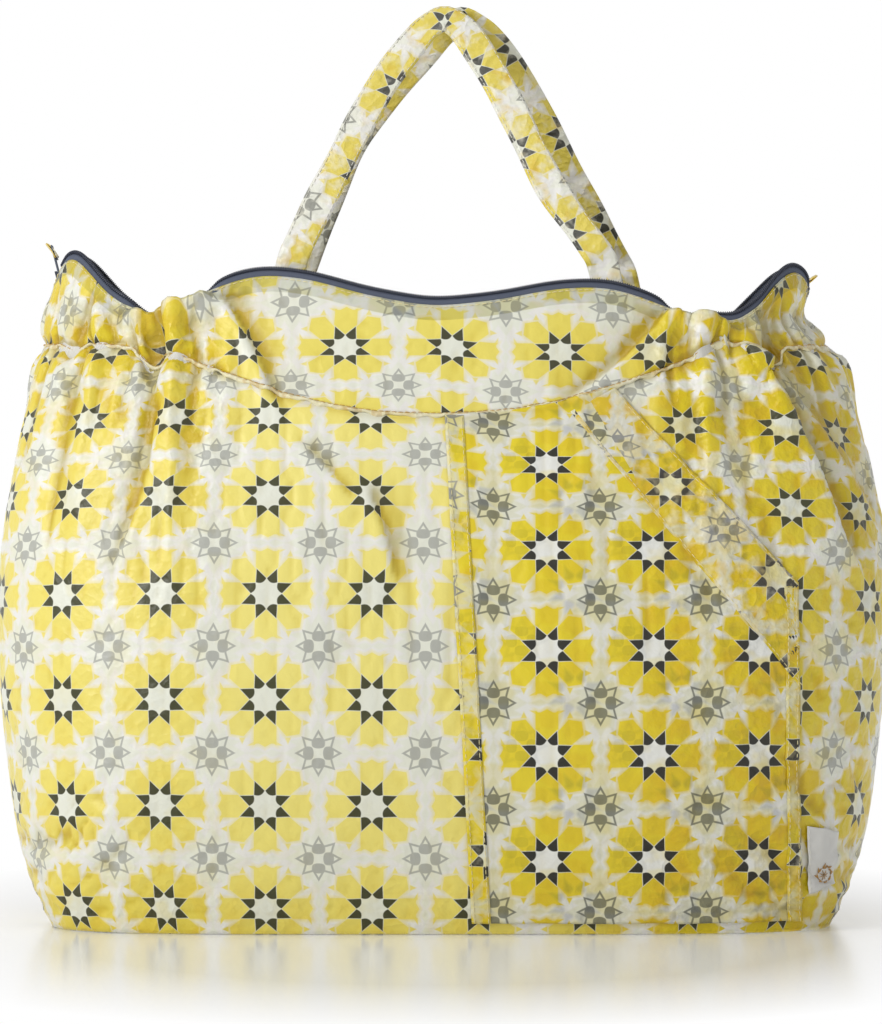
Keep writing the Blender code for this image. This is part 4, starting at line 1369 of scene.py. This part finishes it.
def make_strap(word):
    """One strap, from its sewn end inside the band over the arch to its other end. Gives back its length."""
    hinge = Vector(next(j for j in frame["joints"] if j["name"] == word + "_handle_fold")["pos_m"])
    side = -1 if hinge.y < 0 else 1
    left, top, right, rise = arch_line(word + "_handle_arch", hinge)
    left_leg, right_leg = (leg_line(f"{word}_handle_leg_{end}") for end in ("left", "right"))
    path = resample(np.concatenate([left_leg, left, [top], right, right_leg[::-1]]), STRAP_STEP)[0]
    for _ in range(3):
        path[1:-1] = (path[:-2] + 2 * path[1:-1] + path[2:]) / 4
    # The strap's face looks out of the bag, square to the arch's plane above the hinge.
    count = len(path)
    lean = np.array([0.0, side * rise[2], -side * rise[1]])
    flat = np.array([0.0, float(side), 0.0])
    high = np.clip((path[:, 2] - hinge.z) / 0.02, 0.0, 1.0)[:, None]
    face = flat * (1 - high) + lean * high
    _, across, face = frames_on(path, face / np.linalg.norm(face, axis=1, keepdims=True))
    along = run_of(path)
    seed = 71 if side < 0 else 73
    twist = 0.10 * wander(along, seed, (0.31, 0.19))
    # The cloth was cut at a slant, and the print jumps where the strap is pinched at the top.
    apex = along[int(np.argmax(path[:, 2]))]
    past_apex = 5 * MM * np.clip((along - apex) / (30 * MM), 0, 1)
    print_shift = np.where(along < apex, 0.09 * (apex - along), past_apex)
    pinch = np.clip((along - apex + 5 * MM) / (22 * MM), 0.0, 1.0)
    print_along = along + 21 * MM * pinch * pinch * (3 - 2 * pinch)
    bulge = 0.9 * MM * wander(along, seed + 1, (0.041, 0.067))
    width = STRAP_WIDE * (1 + 0.06 * wander(along, seed + 2, (0.053, 0.091)))

    def strap_line(s, out):
        """The line along the strap at s, from -1 to 1 across it, and this far out of its face."""
        rise = out + bulge * s * s * 0.5 + twist * s * width / 2
        return path + across * (s * width / 2)[:, None] + face * rise[:, None]

    places = [-1 + k / 6 for k in range(13)]
    loop = [(s, 1) for s in places] + [(s, -1) for s in reversed(places)]
    ring = []
    for s, face_side in loop:
        edge = math.sqrt(max(1 - abs(s) ** 6, 0.0))
        thick = STRAP_THICK / 2 * (0.25 + 0.75 * edge)
        crown = 0.35 * MM * math.cos(s * math.pi / 2)
        crease = 0.22 * MM * np.sin(along / (7.3 * MM) + 3.1 * s + 2 * np.sin(along / (19 * MM)))
        ring.append(strap_line(s, face_side * thick + crown + crease * edge))
    sections = len(loop)
    faces = tube_faces(0, count, sections)
    faces += [tuple(range(sections)), tuple(reversed(range((count - 1) * sections, count * sections)))]
    lengthwise = np.array([s * STRAP_WIDE / 2 for s, _ in loop])
    uv = np.stack(np.broadcast_arrays(lengthwise + print_shift[:, None], print_along[:, None]), axis=-1)
    uv = uv.reshape(-1, 2)[np.concatenate(faces)]
    corners = np.array(ring).transpose(1, 0, 2).reshape(-1, 3)
    strap = new_piece(word + "_strap", corners, faces, {"print": uv}, strap_print)
    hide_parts(word + "_handle_arch", word + "_handle_leg_left", word + "_handle_leg_right")
    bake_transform(strap)

    # Both edges are stitched. Only the stitches above the hinge are seen, and they ride with the handle.
    lines = []
    for s in (-0.86, 0.86):
        line = strap_line(s, STRAP_THICK / 2 + 0.35 * MM * math.cos(s * math.pi / 2) + 0.05 * MM)
        keep = path[:, 2] > hinge.z + 10 * MM
        lines.append((line[keep], face[keep]))
    stitches(word + "_strap_stitches", lines, thread_white, rides=word + "_handle")
    return float(along[-1])


STRAP_LONG = {word: make_strap(word) for word in ("front", "back")}


# ---------------------------------------------------------------- end tabs and metal
TAB_ROWS, TAB_COLUMNS = 15, 7  # of each of a tab's two layers


def soft_tab(name, node):
    """A narrow strip of cloth folded over the end of the zip, a little curled."""
    low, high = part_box(node)
    left = node.endswith("left")
    foot = Vector(((high.x if left else low.x), 0.0, low.z))
    tip = Vector(((low.x if left else high.x), 0.0, high.z))
    along = tip - foot
    length = along.length
    along.normalize()
    normal = Vector((0.0, 1.0, 0.0)).cross(along)
    points = np.zeros((2 * TAB_ROWS, TAB_COLUMNS, 3))
    half = (high.y - low.y) / 2
    for r in range(2 * TAB_ROWS):
        t = r / (TAB_ROWS - 0.5) if r < TAB_ROWS else (2 * TAB_ROWS - 1 - r) / (TAB_ROWS - 0.5)
        t = min(t, 1.0)
        face = (1 if r < TAB_ROWS else -1) * 0.8 * MM * math.sqrt(max(1 - t**4, 0.0))
        for c in range(TAB_COLUMNS):
            s = -1 + 2 * c / (TAB_COLUMNS - 1)
            curl = 1.6 * MM * t * t * (1 if left else -1)
            pinch = 1 - 0.35 * t
            rise = face - curl + 0.5 * MM * math.cos(2 * s + 3 * t)
            place = foot + along * (length * 1.06 * t) + normal * rise
            points[r, c] = place + Vector((0.0, s * half * pinch, 0.0))
    uv = np.zeros((2 * TAB_ROWS, TAB_COLUMNS, 2))
    uv[..., 0] = np.linspace(0.0, 2 * half, TAB_COLUMNS)[None, :]
    uv[..., 1] = np.linspace(0.0, 2 * length, 2 * TAB_ROWS)[:, None]
    grid_piece(name, points, {"print": uv}, seam_print, replaces=[node],
               thick=0.35 * MM)


soft_tab("end_tab_left_cloth", "zip_end_tab_left")
soft_tab("end_tab_right_cloth", "zip_end_tab_right")


def finish_node(name, material):
    node = frame["nodes"][name]
    node.data.materials.clear()
    node.data.materials.append(material)
    for polygon in node.data.polygons:
        polygon.material_index = 0


for name in ("zip_slider", "zip_pull", "zip_bottom_stop", "front_zip_top_stop", "back_zip_top_stop"):
    finish_node(name, metal_dark)
finish_node("zip_closed_end", tape_node)


# ---------------------------------------------------------------- camera, light and floor
BACKGROUND, SKY = 1.0, 0.34  # what the camera sees behind the bag, and what lights it
KEY_POWER, TOP_POWER, FLOOR_GLOW = 24.0, 5.0, 0.10
FLOOR_SIZE, FLOOR_SHIFT, FLOOR_DROP = 40.0, 12.0, 0.2 * MM
FLOOR_GREY, FLOOR_ROUGHNESS = 0.80, 0.20
POOL_ACROSS, POOL_AHEAD, POOL_EDGE = 0.36, 0.50, 0.35  # the reflecting pool's half sizes and soft share
CAMERA_AWAY, CAMERA_UP = 2.3, 0.2317
FRAME_HIGH = 0.5847  # height of the picture at the middle of the bag


def lay_floor():
    bpy.ops.mesh.primitive_plane_add(size=FLOOR_SIZE, location=(0.0, FLOOR_SHIFT, -FLOOR_DROP))
    floor = bpy.context.object
    floor.name = "floor"
    material, tree, shader = new_material("studio_floor", FLOOR_ROUGHNESS)
    shader.inputs["Base Color"].default_value = (FLOOR_GREY, FLOOR_GREY, FLOOR_GREY, 1.0)
    shader.inputs["Specular IOR Level"].default_value = 0.5
    shader.inputs["Emission Color"].default_value = (1.0, 1.0, 1.0, 1.0)
    shader.inputs["Emission Strength"].default_value = FLOOR_GLOW
    # The floor reflects in a soft pool round the bag, and is plain white beyond it.
    place = tree.nodes.new("ShaderNodeTexCoord")
    split = tree.nodes.new("ShaderNodeSeparateXYZ")
    tree.links.new(place.outputs["Object"], split.inputs[0])
    across = Shade(tree, split.outputs[0]) / POOL_ACROSS
    ahead = (Shade(tree, split.outputs[1]) + FLOOR_SHIFT) / POOL_AHEAD
    pool = ((1.0 - (across * across + ahead * ahead).root()) / POOL_EDGE).clamped()
    white = tree.nodes.new("ShaderNodeEmission")
    blend = tree.nodes.new("ShaderNodeMixShader")
    tree.links.new(pool.socket, blend.inputs[0])
    tree.links.new(white.outputs[0], blend.inputs[1])
    tree.links.new(shader.outputs[0], blend.inputs[2])
    tree.links.new(blend.outputs[0], tree.nodes["Material Output"].inputs["Surface"])
    floor.data.materials.append(material)


def light_up():
    world = bpy.data.worlds.new("studio")
    bpy.context.scene.world = world
    world.use_nodes = True
    tree = world.node_tree
    back = tree.nodes["Background"]
    back.inputs["Color"].default_value = (1.0, 1.0, 1.0, 1.0)
    rays = tree.nodes.new("ShaderNodeLightPath")
    seen = Shade(tree, rays.outputs["Is Camera Ray"]).high(Shade(tree, rays.outputs["Is Glossy Ray"]))
    level = seen * (BACKGROUND - SKY) + SKY
    tree.links.new(level.socket, back.inputs["Strength"])

    def soft_light(name, place, target, size, power):
        light = bpy.data.lights.new(name, "AREA")
        light.shape = "RECTANGLE"
        light.size, light.size_y = size
        light.energy = power
        lamp = bpy.data.objects.new(name, light)
        lamp.location = place
        lamp.rotation_euler = (Vector(target) - Vector(place)).to_track_quat("-Z", "Y").to_euler()
        bpy.context.scene.collection.objects.link(lamp)

    soft_light("key", (-1.5, -1.4, 1.1), (0.0, 0.0, 0.2), (0.8, 1.0), KEY_POWER)
    soft_light("top", (-0.2, -0.3, 1.9), (0.0, 0.0, 0.2), (1.0, 0.7), TOP_POWER)


def aim_camera():
    camera = bpy.data.cameras.new("camera")
    camera.sensor_width = 36.0
    camera.lens = camera.sensor_width * CAMERA_AWAY / FRAME_HIGH
    viewer = bpy.data.objects.new("camera", camera)
    viewer.location = (0.0, -CAMERA_AWAY, CAMERA_UP)
    viewer.rotation_euler = (math.pi / 2, 0.0, 0.0)
    bpy.context.scene.collection.objects.link(viewer)
    bpy.context.scene.camera = viewer
    bpy.context.scene.view_settings.view_transform = "Standard"


lay_floor()
light_up()
aim_camera()
